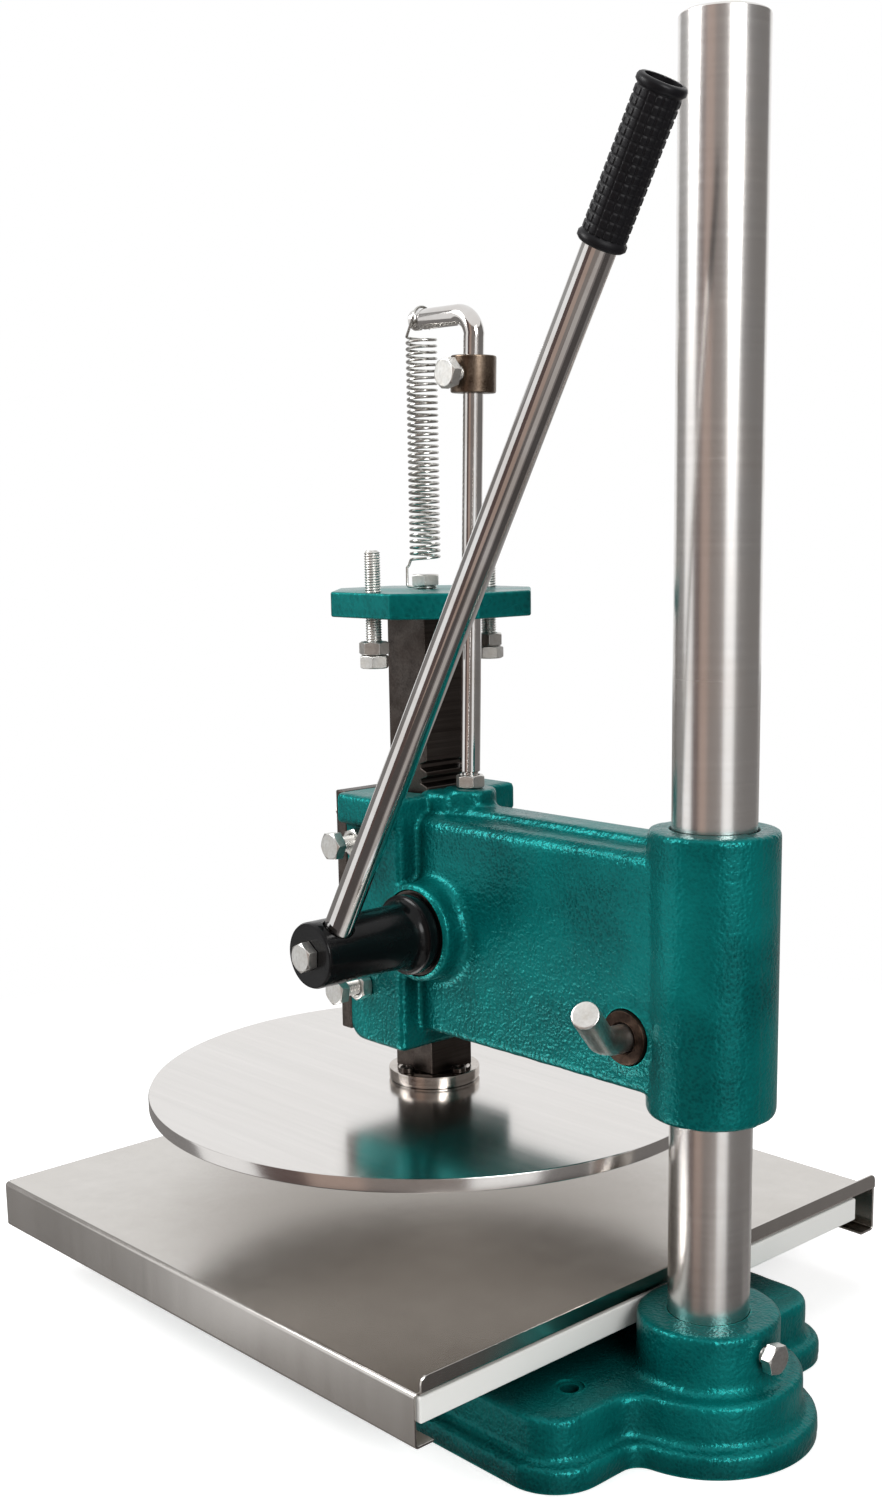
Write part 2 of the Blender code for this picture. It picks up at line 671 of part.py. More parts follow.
def build_tray(parent):
    """The folded sheet: top, side skirts with returns, front apron and rear lip."""
    overlap = SHEET / 2
    depth = TRAY_DEPTH - overlap - SHEET / 4
    middle = TRAY_FRONT + overlap + depth / 2
    tray = outline_solid("tray", tray_section(), depth, (TRAY_SHIFT, middle, 0), (math.pi / 2, 0, 0))
    lip = outline_solid("tray_lip", lip_outline(), SHEET, (TRAY_SHIFT, TRAY_REAR - SHEET / 2, TRAY_TOP),
                        (math.pi / 2, 0, 0))
    side = TRAY_BEND + SHEET
    apron = box("tray_apron", (TRAY_LEFT + side, TRAY_FRONT, TRAY_TOP - TRAY_SKIRT),
                (TRAY_RIGHT - side, TRAY_FRONT + SHEET, TRAY_TOP - SHEET / 4))
    finish(join(tray, lip, apron), STAINLESS, parent)


# ---------------------------------------------------------------- arm

def head_side_outline():
    """The head's outline seen from the side, with a rounded front toe."""
    front = HEAD_FRONT - MACHINING
    top = HEAD_TOP - HEAD_FLANGE_HEIGHT / 2
    toe = arc((front + HEAD_TOE_RADIUS, ARM_BOTTOM + HEAD_TOE_RADIUS), HEAD_TOE_RADIUS, 180, 270, 5)
    return toe + [(HEAD_REAR, ARM_BOTTOM), (HEAD_REAR, top), (front, top)]


def web_outline():
    """The web's cross-section, with its two upper edges well rounded."""
    side, low = WEB_HALF_WIDTH, CASTING_ROUND
    return (arc((side - low, WEB_BOTTOM + low), low, 270, 360, 3) +
            arc((side - WEB_EDGE, WEB_TOP - WEB_EDGE), WEB_EDGE, 0, 90, 5) +
            arc((WEB_EDGE - side, WEB_TOP - WEB_EDGE), WEB_EDGE, 90, 180, 5) +
            arc((low - side, WEB_BOTTOM + low), low, 180, 270, 3))


def build_arm(parent):
    """The arm casting: sleeve, web with its rail, head block, pinion boss and rod lug."""
    arm = outline_solid("arm_casting", head_side_outline(), 2 * HEAD_HALF_WIDTH,
                        rotation=SIDE_VIEW_TURN)
    round_edges(arm, CASTING_ROUND)
    flange = box("arm_head_flange", (-HEAD_FLANGE_HALF_WIDTH, HEAD_FRONT - 1.5 * MACHINING,
                                     HEAD_TOP - HEAD_FLANGE_HEIGHT),
                 (HEAD_FLANGE_HALF_WIDTH, HEAD_REAR - MM, HEAD_TOP))
    lug = box("arm_rod_lug", (-ROD_LUG_HALF_WIDTH, HEAD_REAR - 8 * MM, WEB_TOP - 8 * MM),
              (ROD_LUG_HALF_WIDTH, ROD_Y, ROD_LUG_BLOCK_TOP))
    lug_boss = turned("arm_lug_boss", [
        (ROD_LUG_RADIUS - 1.5 * MM, ROD_LUG_TOP), (ROD_LUG_RADIUS - 0.4 * MM, ROD_LUG_TOP - 0.4 * MM),
        (ROD_LUG_RADIUS, ROD_LUG_TOP - 1.5 * MM), (ROD_LUG_RADIUS, WEB_TOP - 8 * MM)],
        centre=(0, ROD_Y), segments=ROUND_SMALL + 12)
    web_start = HEAD_REAR - 8 * MM
    web = outline_solid("arm_web", web_outline(), THROAT - web_start,
                        (0, (THROAT + web_start) / 2, 0), FRONT_VIEW_TURN)
    cap = box("arm_cap", (-CAP_HALF_WIDTH, HEAD_REAR - 8 * MM, WEB_TOP - 8 * MM),
              (CAP_HALF_WIDTH, THROAT, CAP_TOP))
    for piece in (flange, lug, cap):
        round_edges(piece, CASTING_ROUND)
    edge = 2 * MM
    sleeve = turned("arm_sleeve", [
        (SLEEVE_RADIUS - edge, SLEEVE_TOP), (SLEEVE_RADIUS - 0.3 * edge, SLEEVE_TOP - 0.3 * edge),
        (SLEEVE_RADIUS, SLEEVE_TOP - edge), (SLEEVE_RADIUS, ARM_BOTTOM + edge),
        (SLEEVE_RADIUS - 0.3 * edge, ARM_BOTTOM + 0.3 * edge), (SLEEVE_RADIUS - edge, ARM_BOTTOM)],
        centre=(0, THROAT))
    boss = turned("arm_pinion_boss", [
        (PINION_BOSS_RADIUS - MM, PINION_BOSS_END),
        (PINION_BOSS_RADIUS, PINION_BOSS_END - MM), (PINION_BOSS_RADIUS, WEB_HALF_WIDTH + 3 * MM),
        (PINION_BOSS_RADIUS + 3 * MM, WEB_HALF_WIDTH - MM),
        (PINION_BOSS_RADIUS + 3 * MM, MM - WEB_HALF_WIDTH),
        (PINION_BOSS_RADIUS, -WEB_HALF_WIDTH - 3 * MM), (PINION_BOSS_RADIUS, MM - HEAD_HALF_WIDTH),
        (PINION_BOSS_RADIUS - MM, -HEAD_HALF_WIDTH)],
        axis="X", centre=(PINION_Y, PINION_HEIGHT))
    join(arm, flange, lug, lug_boss, web, cap, sleeve, boss)
    cut(arm, *arm_cutters())
    finish(arm, GREEN_ENAMEL, parent)


def arm_cutters():
    """Everything that is machined out of the arm casting."""
    high = ROD_LUG_TOP + 5 * MM
    front_face = box("cut_front_face", (-2 * HEAD_HALF_WIDTH, HEAD_FRONT - 10 * MM, ARM_BOTTOM - 5 * MM),
                     (2 * HEAD_HALF_WIDTH, HEAD_FRONT, high))
    channel = box("cut_channel", (-CHANNEL_HALF, HEAD_FRONT - MM, ARM_BOTTOM - MM),
                  (CHANNEL_GIB_SIDE, CHANNEL_HALF, high))
    inner = -CHANNEL_HALF
    bore = cylinder("cut_pinion_bore", BORE_RADIUS, inner, PINION_BOSS_END + MM, "X",
                    (PINION_Y, PINION_HEIGHT))
    end_bore = cylinder("cut_end_bore", END_JOURNAL_RADIUS + THREAD_FIT, -HEAD_HALF_WIDTH - MM, inner + MM,
                        "X", (PINION_Y, PINION_HEIGHT), ROUND_SMALL + 4)
    column = cylinder("cut_column", COLUMN_RADIUS + FIT, ARM_BOTTOM - MM, SLEEVE_TOP + MM,
                      centre=(0, THROAT))
    clamp_reach = WEB_HALF_WIDTH + CLAMP_BUSH_PROUD + MM
    clamp = cylinder("cut_clamp", CLAMP_RADIUS + FIT, -clamp_reach, clamp_reach, "X",
                     (CLAMP_Y, CLAMP_HEIGHT), ROUND_SMALL + 12)
    rod = m8_hole("cut_rod", "Z", (0, ROD_Y), ROD_LUG_TOP - ROD_THREAD_DEPTH - MM, high)
    gibs = [m8_hole("cut_gib_screw", "X", (GIB_SCREW_Y, height), CHANNEL_GIB_SIDE - MM,
                    HEAD_HALF_WIDTH + MM) for height in GIB_SCREW_HEIGHTS]
    front = [m8_hole("cut_front_bolt", "Y", place, HEAD_FRONT - MM,
                     HEAD_FRONT + FRONT_BOLT_LENGTH + MM) for place in front_bolt_places()]
    return [front_face, channel, bore, end_bore, column, clamp, rod, *gibs, *front]


def front_bolt_places():
    """X and Z of the four bolts of the front plate."""
    return [(side * FRONT_BOLT_X, height) for height in (FRONT_BOLT_LOW, FRONT_BOLT_HIGH)
            for side in (-1, 1)]


def build_ram_guides(parent):
    """The front plate with its bolts, and the gib with its screws and lock nuts."""
    face = FRONT_PLATE_BACK - FRONT_PLATE_THICKNESS
    plate = box("front_plate", (-FRONT_PLATE_HALF_WIDTH, face, ARM_BOTTOM + FRONT_PLATE_ABOVE_TOE),
                (FRONT_PLATE_HALF_WIDTH, FRONT_PLATE_BACK, HEAD_TOP + 0.5 * MM))
    for index, place in enumerate(front_bolt_places(), start=1):
        cut(plate, m8_hole("cut_plate_hole", "Y", place, face - MM, FRONT_PLATE_BACK + MM))
        bolt = m8_screw(f"front_plate_bolt_{index}", "Y", place, face - FIT, face - FIT - M8_HEAD,
                        HEAD_FRONT + FRONT_BOLT_LENGTH)
        finish(bolt, ZINC, parent)
    finish(plate, DARK_STEEL, parent)
    gib = box("ram_gib", (RAM_SIDE / 2 + FIT, -RAM_SIDE / 2, ARM_BOTTOM + 2 * MM),
              (RAM_SIDE / 2 + FIT + GIB_THICKNESS, RACK_ROOT_Y, HEAD_TOP - 2 * MM))
    finish(gib, BROWN_STEEL, parent)
    for name, height in zip(("lower", "upper"), GIB_SCREW_HEIGHTS):
        centre = (GIB_SCREW_Y, height)
        head = HEAD_HALF_WIDTH + GIB_SCREW_HEAD_FROM_FACE
        screw = m8_screw(f"gib_screw_{name}", "X", centre, head, head + M8_HEAD, CHANNEL_GIB_SIDE)
        nut = m8_nut(f"gib_nut_{name}", "X", centre, HEAD_HALF_WIDTH + FIT,
                     HEAD_HALF_WIDTH + FIT + M8_NUT)
        finish(screw, ZINC, parent)
        finish(nut, ZINC, parent)


def build_clamp(arm_frame, clamp_frame):
    """The two clamp bushes, scalloped to the column, and the bent clamp screw through them."""
    outer = WEB_HALF_WIDTH + CLAMP_BUSH_PROUD
    for name, start, end in (("near", CLAMP_BUSH_INNER, outer), ("far", -outer, -CLAMP_BUSH_INNER)):
        bush = cylinder(f"clamp_bush_{name}", CLAMP_RADIUS, start, end, "X", (CLAMP_Y, CLAMP_HEIGHT),
                        ROUND_SMALL + 12)
        bore = cylinder("cut_bush", CLAMP_SCREW_RADIUS + THREAD_FIT, start - MM, end + MM, "X",
                        (CLAMP_Y, CLAMP_HEIGHT), ROUND_SMALL)
        scallop = cylinder("cut_scallop", COLUMN_RADIUS + FIT, CLAMP_HEIGHT - 2 * CLAMP_RADIUS,
                           CLAMP_HEIGHT + 2 * CLAMP_RADIUS, centre=(0, THROAT))
        finish(cut(bush, bore, scallop), BROWN_STEEL, arm_frame)
    elbow = Vector((CLAMP_ELBOW_X, CLAMP_Y, CLAMP_HEIGHT))
    finish(wire("clamp_screw", clamp_screw_line(elbow), CLAMP_SCREW_RADIUS, 16), ZINC, clamp_frame)


def clamp_screw_line(elbow):
    """The clamp screw's middle line: along X, round a bend, then out along the crank."""
    out = CLAMP_CRANK.normalized()
    reach = 9 * MM
    before = elbow - Vector((reach, 0, 0))
    after = elbow + out * reach
    line = [Vector((-WEB_HALF_WIDTH, CLAMP_Y, CLAMP_HEIGHT)), before]
    for step in range(1, 6):
        t = step / 6
        line.append(before * (1 - t) ** 2 + elbow * 2 * t * (1 - t) + after * t ** 2)
    return line + [after, elbow + CLAMP_CRANK]


# ---------------------------------------------------------------- ram

def rack_outline():
    """The ram seen from the side: a bar with rack teeth cut in its rear face."""
    half = RAM_SIDE / 2
    pitch = math.pi * MODULE
    root = RACK_ROOT_Y
    gap_at_tip = pitch / 2 + BACKLASH / 2 + 2 * RACK_ADDENDUM * math.tan(PRESSURE_ANGLE)
    gap_at_root = gap_at_tip - 2 * (half - root) * math.tan(PRESSURE_ANGLE)
    points = [(-half, RAM_TOP), (-half, RAM_BOTTOM), (half, RAM_BOTTOM)]
    for index in range(-RACK_BELOW_PINION, RACK_ABOVE_PINION + 1):
        middle = PINION_HEIGHT + index * pitch
        points += [(half, middle - gap_at_tip / 2), (root, middle - gap_at_root / 2),
                   (root, middle + gap_at_root / 2), (half, middle + gap_at_tip / 2)]
    return points + [(half, RAM_TOP)]


def build_ram(parent):
    """The ram with its rack, lower spigot and tapped top."""
    ram = outline_solid("ram", rack_outline(), RAM_SIDE, rotation=SIDE_VIEW_TURN)
    spigot = cylinder("ram_spigot", SPIGOT_RADIUS, RAM_BOTTOM - SPIGOT_LENGTH, RAM_BOTTOM + 3 * MM,
                      segments=ROUND_SMALL)
    join(ram, spigot)
    cut(ram, m8_hole("cut_ram_top", "Z", (0, 0), RAM_TOP - 21 * MM, RAM_TOP + MM))
    finish(ram, DARK_STEEL, parent)


def build_disc(parent):
    """The pressing disc, the flange above it and the screws that join them."""
    edge = 0.7 * MM
    disc = turned("press_disc", [
        (DISC_RADIUS - edge, DISC_TOP), (DISC_RADIUS, DISC_TOP - edge),
        (DISC_RADIUS, DISC_UNDERSIDE + edge), (DISC_RADIUS - edge, DISC_UNDERSIDE)],
        segments=ROUND_LARGE)
    flange_bottom = DISC_TOP + FIT
    flange = turned("ram_flange", [
        (FLANGE_RADIUS - edge, FLANGE_TOP), (FLANGE_RADIUS, FLANGE_TOP - edge),
        (FLANGE_RADIUS, flange_bottom + edge), (FLANGE_RADIUS - edge, flange_bottom),
        (SPIGOT_RADIUS + FIT, flange_bottom), (SPIGOT_RADIUS + FIT, FLANGE_TOP)], closed=True)
    for index in range(4):
        angle = math.radians(90 * index)
        place = (FLANGE_SCREW_CIRCLE * math.cos(angle), FLANGE_SCREW_CIRCLE * math.sin(angle))
        for piece in (disc, flange):
            cut(piece, cylinder("cut_flange_screw", FLANGE_SCREW_RADIUS + FIT, DISC_UNDERSIDE + 2 * MM,
                                FLANGE_TOP + MM, centre=place, segments=12))
        screw = cylinder(f"flange_screw_{index + 1}", FLANGE_SCREW_HEAD_RADIUS, FLANGE_TOP + FIT,
                         FLANGE_TOP + FIT + FLANGE_SCREW_HEAD, centre=place, segments=16)
        shank = cylinder("flange_screw_shank", FLANGE_SCREW_RADIUS, DISC_UNDERSIDE + 2.5 * MM,
                         FLANGE_TOP + FIT + MM, centre=place, segments=12)
        finish(join(screw, shank), DARK_STEEL, parent)
    finish(disc, POLISHED, parent)
    finish(flange, POLISHED, parent)


def plate_outline():
    """The top plate's outline: a rectangle with its corners cut off."""
    w, d, c = PLATE_HALF_WIDTH, PLATE_HALF_DEPTH, PLATE_CORNER_CUT
    return [(w, -d + c), (w, d - c), (w - c, d), (c - w, d), (-w, d - c), (-w, c - d), (c - w, -d),
            (w - c, -d)]


def build_top_plate(parent):
    """The top plate, its bolt, and the two stop studs with their nuts."""
    plate = outline_solid("top_plate", plate_outline(), PLATE_THICKNESS,
                          (0, PLATE_SHIFT, PLATE_UNDERSIDE + PLATE_THICKNESS / 2))
    round_edges(plate, MM, angle=math.radians(30))
    low, high = PLATE_UNDERSIDE - MM, PLATE_TOP + MM
    cut(plate, m8_hole("cut_plate_bolt", "Z", (0, 0), low, high),
        cylinder("cut_plate_rod", ROD_PLATE_HOLE_RADIUS, low, high, centre=(0, rod_y(PLATE_UNDERSIDE)),
                 segments=ROUND_SMALL + 4))
    head = PLATE_TOP + HOOK_SLOT
    bolt = m8_screw("top_plate_bolt", "Z", (0, 0), head, head + M8_HEAD, RAM_TOP - 20 * MM)
    finish(bolt, ZINC, parent)
    for side, name in ((1, "right"), (-1, "left")):
        centre = (side * STUD_SPACING, PLATE_SHIFT)
        cut(plate, m8_hole("cut_stud", "Z", centre, low, high))
        foot = PLATE_UNDERSIDE - STUD_BELOW_PLATE
        tip = PLATE_TOP + STUD_ABOVE_PLATE
        stud = turned(f"stop_stud_{name}", [
            (M8_RADIUS - 0.6 * MM, tip), (M8_RADIUS, tip - 0.6 * MM),
            (M8_RADIUS, foot + 0.6 * MM), (M8_RADIUS - 0.6 * MM, foot)],
            centre=centre, segments=ROUND_SMALL)
        finish(stud, ZINC, parent)
        for level, label in ((0, "lower"), (1, "upper")):
            start = foot + level * (M8_NUT + FIT)
            nut = m8_nut(f"stop_nut_{name}_{label}", "Z", centre, start, start + M8_NUT)
            finish(nut, ZINC, parent)
    finish(plate, GREEN_ENAMEL, parent)


# ---------------------------------------------------------------- guide rod and spring

def rod_y(height):
    """Y of the leaning guide rod at a height."""
    return ROD_Y + max(0, height - ROD_NUT_TOP) * math.tan(ROD_LEAN)


def guide_rod_line():
    """The guide rod's middle line and its thickness: thread, leaning stem, bend and arm."""
    thin = M8_RADIUS / ROD_RADIUS
    low = ROD_LUG_TOP - ROD_THREAD_DEPTH
    bend_low = ROD_TOP - ROD_BEND
    top_y = rod_y(ROD_TOP)
    line = [((0, ROD_Y, low), thin), ((0, ROD_Y, ROD_NUT_TOP + FIT), thin),
            ((0, ROD_Y, ROD_NUT_TOP + FIT + 0.8 * MM), 1), ((0, rod_y(bend_low), bend_low), 1)]
    for angle in (18, 36, 54, 72):
        a = math.radians(angle)
        line.append(((0, top_y - ROD_BEND * (1 - math.cos(a)), bend_low + ROD_BEND * math.sin(a)), 1))
    groove = 0.9
    for y, scale in ((top_y - ROD_BEND, 1), (SPRING_HOOK_Y + 2 * MM, 1),
                     (SPRING_HOOK_Y + 1.2 * MM, groove), (SPRING_HOOK_Y - 1.2 * MM, groove),
                     (SPRING_HOOK_Y - 2 * MM, 1), (ROD_END_Y, 1)):
        line.append(((0, y, ROD_TOP), scale))
    return line


def build_guide_rod(parent):
    """The bent guide rod and the nut that locks it on the head."""
    line = guide_rod_line()
    rod = wire("guide_rod", [point for point, _ in line], ROD_RADIUS, 16, [scale for _, scale in line])
    finish(rod, CHROME, parent)
    nut = m8_nut("guide_rod_nut", "Z", (0, ROD_Y), ROD_LUG_TOP + FIT, ROD_NUT_TOP)
    finish(nut, ZINC, parent)


def build_collar(parent):
    """The stop collar on the leaning stem, and its hexagon set screw."""
    half = COLLAR_HEIGHT / 2
    middle = Vector((0, rod_y(COLLAR_BOTTOM + half), COLLAR_BOTTOM + half))
    lean = (-ROD_LEAN, 0, 0)
    edge = 0.6 * MM
    collar = turned("stop_collar", [
        (COLLAR_RADIUS - edge, half), (COLLAR_RADIUS, half - edge), (COLLAR_RADIUS, edge - half),
        (COLLAR_RADIUS - edge, -half), (ROD_RADIUS + FIT, -half), (ROD_RADIUS + FIT, half)],
        segments=ROUND_SMALL + 12, closed=True)
    collar.location = middle
    collar.rotation_euler = lean
    hole = m8_hole("cut_collar", "X", (middle.y, middle.z), ROD_RADIUS - 2 * MM, COLLAR_RADIUS + MM)
    finish(cut(collar, hole), BROWN_STEEL, parent)
    seat = COLLAR_RADIUS + COLLAR_SCREW_STAND_OFF
    screw = m8_screw("collar_screw", "X", (middle.y, middle.z), seat, seat + M8_HEAD,
                     ROD_RADIUS + FIT)
    finish(screw, ZINC, parent)


def spring_line():
    """The spring's middle line: loop round the bolt, riser, coils, and a hook over the rod."""
    loop_radius = M8_RADIUS + FIT + WIRE_RADIUS
    loop_z = PLATE_TOP + HOOK_SLOT / 2
    start = math.radians(-45)
    line = []
    for step in range(9):
        a = start + math.radians(300 - 33 * step)
        line.append((loop_radius * math.cos(a), loop_radius * math.sin(a), loop_z))
    out = (SPRING_RADIUS + 2 * MM) / math.sqrt(2)
    line.append((out, -out, loop_z + 0.3 * MM))
    line.append((out, -out, SPRING_BOTTOM - 3 * MM))
    steps_per_turn = 8
    total = SPRING_TURNS * steps_per_turn
    for step in range(total + 1):
        a = start + 2 * math.pi * step / steps_per_turn
        height = SPRING_BOTTOM + (SPRING_TOP - SPRING_BOTTOM) * step / total
        line.append((SPRING_RADIUS * math.cos(a), SPRING_RADIUS * math.sin(a), height))
    hook = ROD_RADIUS + FIT + WIRE_RADIUS
    for angle in range(0, 226, 25):
        a = math.radians(angle)
        line.append((hook * math.cos(a), SPRING_HOOK_Y, ROD_TOP + hook * math.sin(a)))
    return line


def build_spring(parent):
    """The return spring."""
    finish(wire("return_spring", spring_line(), WIRE_RADIUS, 4), SPRING_WIRE, parent)


# ---------------------------------------------------------------- lever and pinion

def involute_angle(radius, base_radius):
    """How far an involute has turned from its start where it reaches a radius."""
    if radius <= base_radius:
        return 0
    ratio = math.sqrt((radius / base_radius) ** 2 - 1)
    return ratio - math.atan(ratio)


def pinion_outline():
    """The pinion's outline: involute flanks on radial roots, one tooth towards the rack."""
    base_radius = PITCH_RADIUS * math.cos(PRESSURE_ANGLE)
    tip = PITCH_RADIUS + PINION_ADDENDUM
    root = PITCH_RADIUS - RACK_ADDENDUM - TOOTH_ROOT_GAP
    half_tooth = (math.pi * MODULE / 2 - BACKLASH / 2) / 2 / PITCH_RADIUS
    base_half = half_tooth + involute_angle(PITCH_RADIUS, base_radius)
    radii = [base_radius + (tip - base_radius) * step / 4 for step in range(5)]
    flank = [(root, base_half)] if root < base_radius else []
    flank += [(radius, base_half - involute_angle(radius, base_radius)) for radius in radii]
    points = []
    for tooth in range(PINION_TEETH):
        middle = math.pi + 2 * math.pi * tooth / PINION_TEETH
        for radius, half in flank:
            points.append((radius, middle - half))
        for radius, half in reversed(flank):
            points.append((radius, middle + half))
    return [(radius * math.cos(a), radius * math.sin(a)) for radius, a in points]


def build_pinion(arm_frame, lever_frame):
    """The pinion shaft: gear, large journal, small journal and the stub that carries the hub."""
    centre = (PINION_Y, PINION_HEIGHT)
    low, high = -RAM_SIDE / 2, CHANNEL_GIB_SIDE + FIT
    gear = outline_solid("pinion_shaft", pinion_outline(), high - low, ((low + high) / 2, *centre),
                         SIDE_VIEW_TURN)
    journal_end = PINION_BOSS_END - FIT
    journal = cylinder("shaft_journal", JOURNAL_RADIUS, high - FIT, journal_end, "X", centre)
    stub = cylinder("shaft_stub", STUB_RADIUS, journal_end - MM, STUB_END, "X", centre, ROUND_SMALL + 4)
    end = cylinder("shaft_end", END_JOURNAL_RADIUS, -HEAD_HALF_WIDTH + MM, low + MM, "X", centre,
                   ROUND_SMALL + 4)
    join(gear, journal, stub, end)
    cut(gear, m8_hole("cut_shaft_end", "X", centre, -HEAD_HALF_WIDTH - MM, MM - HEAD_HALF_WIDTH + 15 * MM))
    finish(gear, DARK_STEEL, lever_frame)
    seat = -HEAD_HALF_WIDTH - FIT
    washer_face = seat - END_WASHER
    screw = m8_screw("pinion_end_screw", "X", centre, washer_face + MM, washer_face - M8_HEAD,
                     15 * MM - HEAD_HALF_WIDTH)
    washer = cylinder("end_screw_washer", END_WASHER_RADIUS, washer_face, seat, "X", centre,
                      ROUND_SMALL + 4)
    finish(join(screw, washer), ZINC, lever_frame)


def lever_point(distance, x=LEVER_X):
    """A point on the lever's middle line, at a distance from the hub's axis."""
    return Vector((x, PINION_Y + distance * math.sin(LEVER_LEAN),
                   PINION_HEIGHT + distance * math.cos(LEVER_LEAN)))


def along_lever(obj, distance):
    """Turn a Z-built piece to lie along the lever, with its own origin at a distance."""
    obj.location = lever_point(distance)
    obj.rotation_euler = (-LEVER_LEAN, 0, 0)
    return obj


def build_lever(parent):
    """The black hub with its end bolt, the lever rod and the grip."""
    centre = (PINION_Y, PINION_HEIGHT)
    flange_start = PINION_BOSS_END + FIT
    flange_end = flange_start + HUB_FLANGE
    edge = 1.5 * MM
    flare = [(HUB_RADIUS + (HUB_FLANGE_RADIUS - HUB_RADIUS) * (1 - math.sin(math.radians(a))),
              flange_end + (HUB_NECK - flange_end) * (1 - math.cos(math.radians(a))))
             for a in (90, 67, 45, 22, 0)]
    hub = turned("lever_hub", [
        (HUB_RADIUS - edge, HUB_END), (HUB_RADIUS, HUB_END - edge)] + flare +
        [(HUB_FLANGE_RADIUS, flange_start), (STUB_RADIUS + FIT, flange_start),
         (STUB_RADIUS + FIT, STUB_END + FIT)], axis="X", centre=centre)
    socket = along_lever(cylinder("cut_socket", LEVER_RADIUS + FIT, -LEVER_SOCKET, 2 * HUB_RADIUS,
                                  segments=ROUND_SMALL + 4), 0)
    shift = Vector((0, math.sin(LEVER_LEAN), math.cos(LEVER_LEAN))) * (HUB_RADIUS - LEVER_SOCKET / 2)
    socket.location = lever_point(0) + shift
    bolt_hole = m8_hole("cut_hub_bolt", "X", centre, LEVER_X, HUB_END + MM)
    finish(cut(hub, socket, bolt_hole), BLACK_GLOSS, parent)
    bolt = m8_screw("hub_end_bolt", "X", centre, HUB_END + FIT, HUB_END + FIT + M8_HEAD,
                    LEVER_X + LEVER_RADIUS + FIT)
    finish(bolt, ZINC, parent)
    rod_low, rod_high = FIT - LEVER_SOCKET, LEVER_LENGTH - GRIP_OVERHANG
    rod = along_lever(cylinder("lever_rod", LEVER_RADIUS, -(rod_high - rod_low) / 2,
                               (rod_high - rod_low) / 2, segments=ROUND_SMALL + 12),
                      (rod_low + rod_high) / 2)
    finish(rod, CHROME, parent)
    half = GRIP_LENGTH / 2
    rim = 2 * MM
    grip = turned("lever_grip", [
        (GRIP_RIM_RADIUS - 0.6 * MM, half), (GRIP_RIM_RADIUS, half - 0.6 * MM),
        (GRIP_RIM_RADIUS, half - rim), (GRIP_RADIUS, half - 2 * rim), (GRIP_RADIUS, 2 * rim - half),
        (GRIP_RIM_RADIUS, rim - half), (GRIP_RIM_RADIUS, 0.6 * MM - half),
        (GRIP_RIM_RADIUS - 0.6 * MM, -half), (LEVER_RADIUS + FIT, -half), (LEVER_RADIUS + FIT, half)],
        segments=ROUND_SMALL + 12, closed=True)
    finish(along_lever(grip, LEVER_LENGTH - half), BLACK_PLASTIC, parent)


def main():
    """Build every sub-assembly round its own axis."""
    base_frame = frame_empty("base_frame", (0, 0, 0))
    column_frame = frame_empty("column_axis", (0, THROAT, 0))
    tray_frame = frame_empty("tray_frame", (0, 0, TRAY_TOP))
    arm_frame = frame_empty("arm_frame", (0, THROAT, ARM_BOTTOM))
    ram_frame = frame_empty("ram_axis", (0, 0, RAM_BOTTOM))
    lever_frame = frame_empty("pinion_axis", (0, PINION_Y, PINION_HEIGHT))
    clamp_frame = frame_empty("clamp_axis", (0, CLAMP_Y, CLAMP_HEIGHT))
    collar_frame = frame_empty("collar_axis", (0, rod_y(COLLAR_BOTTOM), COLLAR_BOTTOM))
    build_base(base_frame)
    build_set_screw(base_frame)
    build_board(base_frame)
    build_tray(tray_frame)
    build_column(column_frame)
    build_arm(arm_frame)
    build_ram_guides(arm_frame)
    build_clamp(arm_frame, clamp_frame)
    build_guide_rod(arm_frame)
    build_spring(arm_frame)
    build_collar(collar_frame)
    build_ram(ram_frame)
    build_disc(ram_frame)
    build_top_plate(ram_frame)
    build_pinion(arm_frame, lever_frame)
    build_lever(lever_frame)
    bpy.context.view_layer.update()


main()
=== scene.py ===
"""Studio scene of a manual dough press.

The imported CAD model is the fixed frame. Each sub-assembly class builds the finished pieces that
stand for its CAD nodes, dresses them and lets them ride on their body. Sizes are in metres, in the
frame of the CAD: the origin on the ram's axis at the base's underside, +X to the lever's side,
+Y back to the column, +Z up.
"""
import logging
import math
from dataclasses import dataclass
from enum import Enum
from typing import Iterable, Sequence

import bmesh
import bpy
from mathutils import Matrix, Vector, noise


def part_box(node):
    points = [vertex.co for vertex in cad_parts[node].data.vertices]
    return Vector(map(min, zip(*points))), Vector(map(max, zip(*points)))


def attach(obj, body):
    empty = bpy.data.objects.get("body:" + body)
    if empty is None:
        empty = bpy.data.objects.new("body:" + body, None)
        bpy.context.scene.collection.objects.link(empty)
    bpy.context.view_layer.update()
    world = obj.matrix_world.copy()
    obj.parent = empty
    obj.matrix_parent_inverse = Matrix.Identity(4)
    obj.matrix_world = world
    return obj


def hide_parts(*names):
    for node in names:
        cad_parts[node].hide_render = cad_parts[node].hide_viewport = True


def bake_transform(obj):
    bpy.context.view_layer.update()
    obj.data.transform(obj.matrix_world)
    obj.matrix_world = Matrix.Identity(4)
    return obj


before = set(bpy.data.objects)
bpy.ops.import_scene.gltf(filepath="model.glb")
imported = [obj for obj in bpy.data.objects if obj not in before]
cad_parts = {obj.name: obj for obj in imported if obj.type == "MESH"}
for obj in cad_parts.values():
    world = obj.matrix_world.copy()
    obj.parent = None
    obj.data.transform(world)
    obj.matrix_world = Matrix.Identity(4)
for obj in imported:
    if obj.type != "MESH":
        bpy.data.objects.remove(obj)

LOG = logging.getLogger("dough_press")
MM = 0.001
FIT = 0.3 * MM

Point = tuple[float, float, float]
Colour = tuple[float, float, float]
Profile = list[tuple[float, float]]


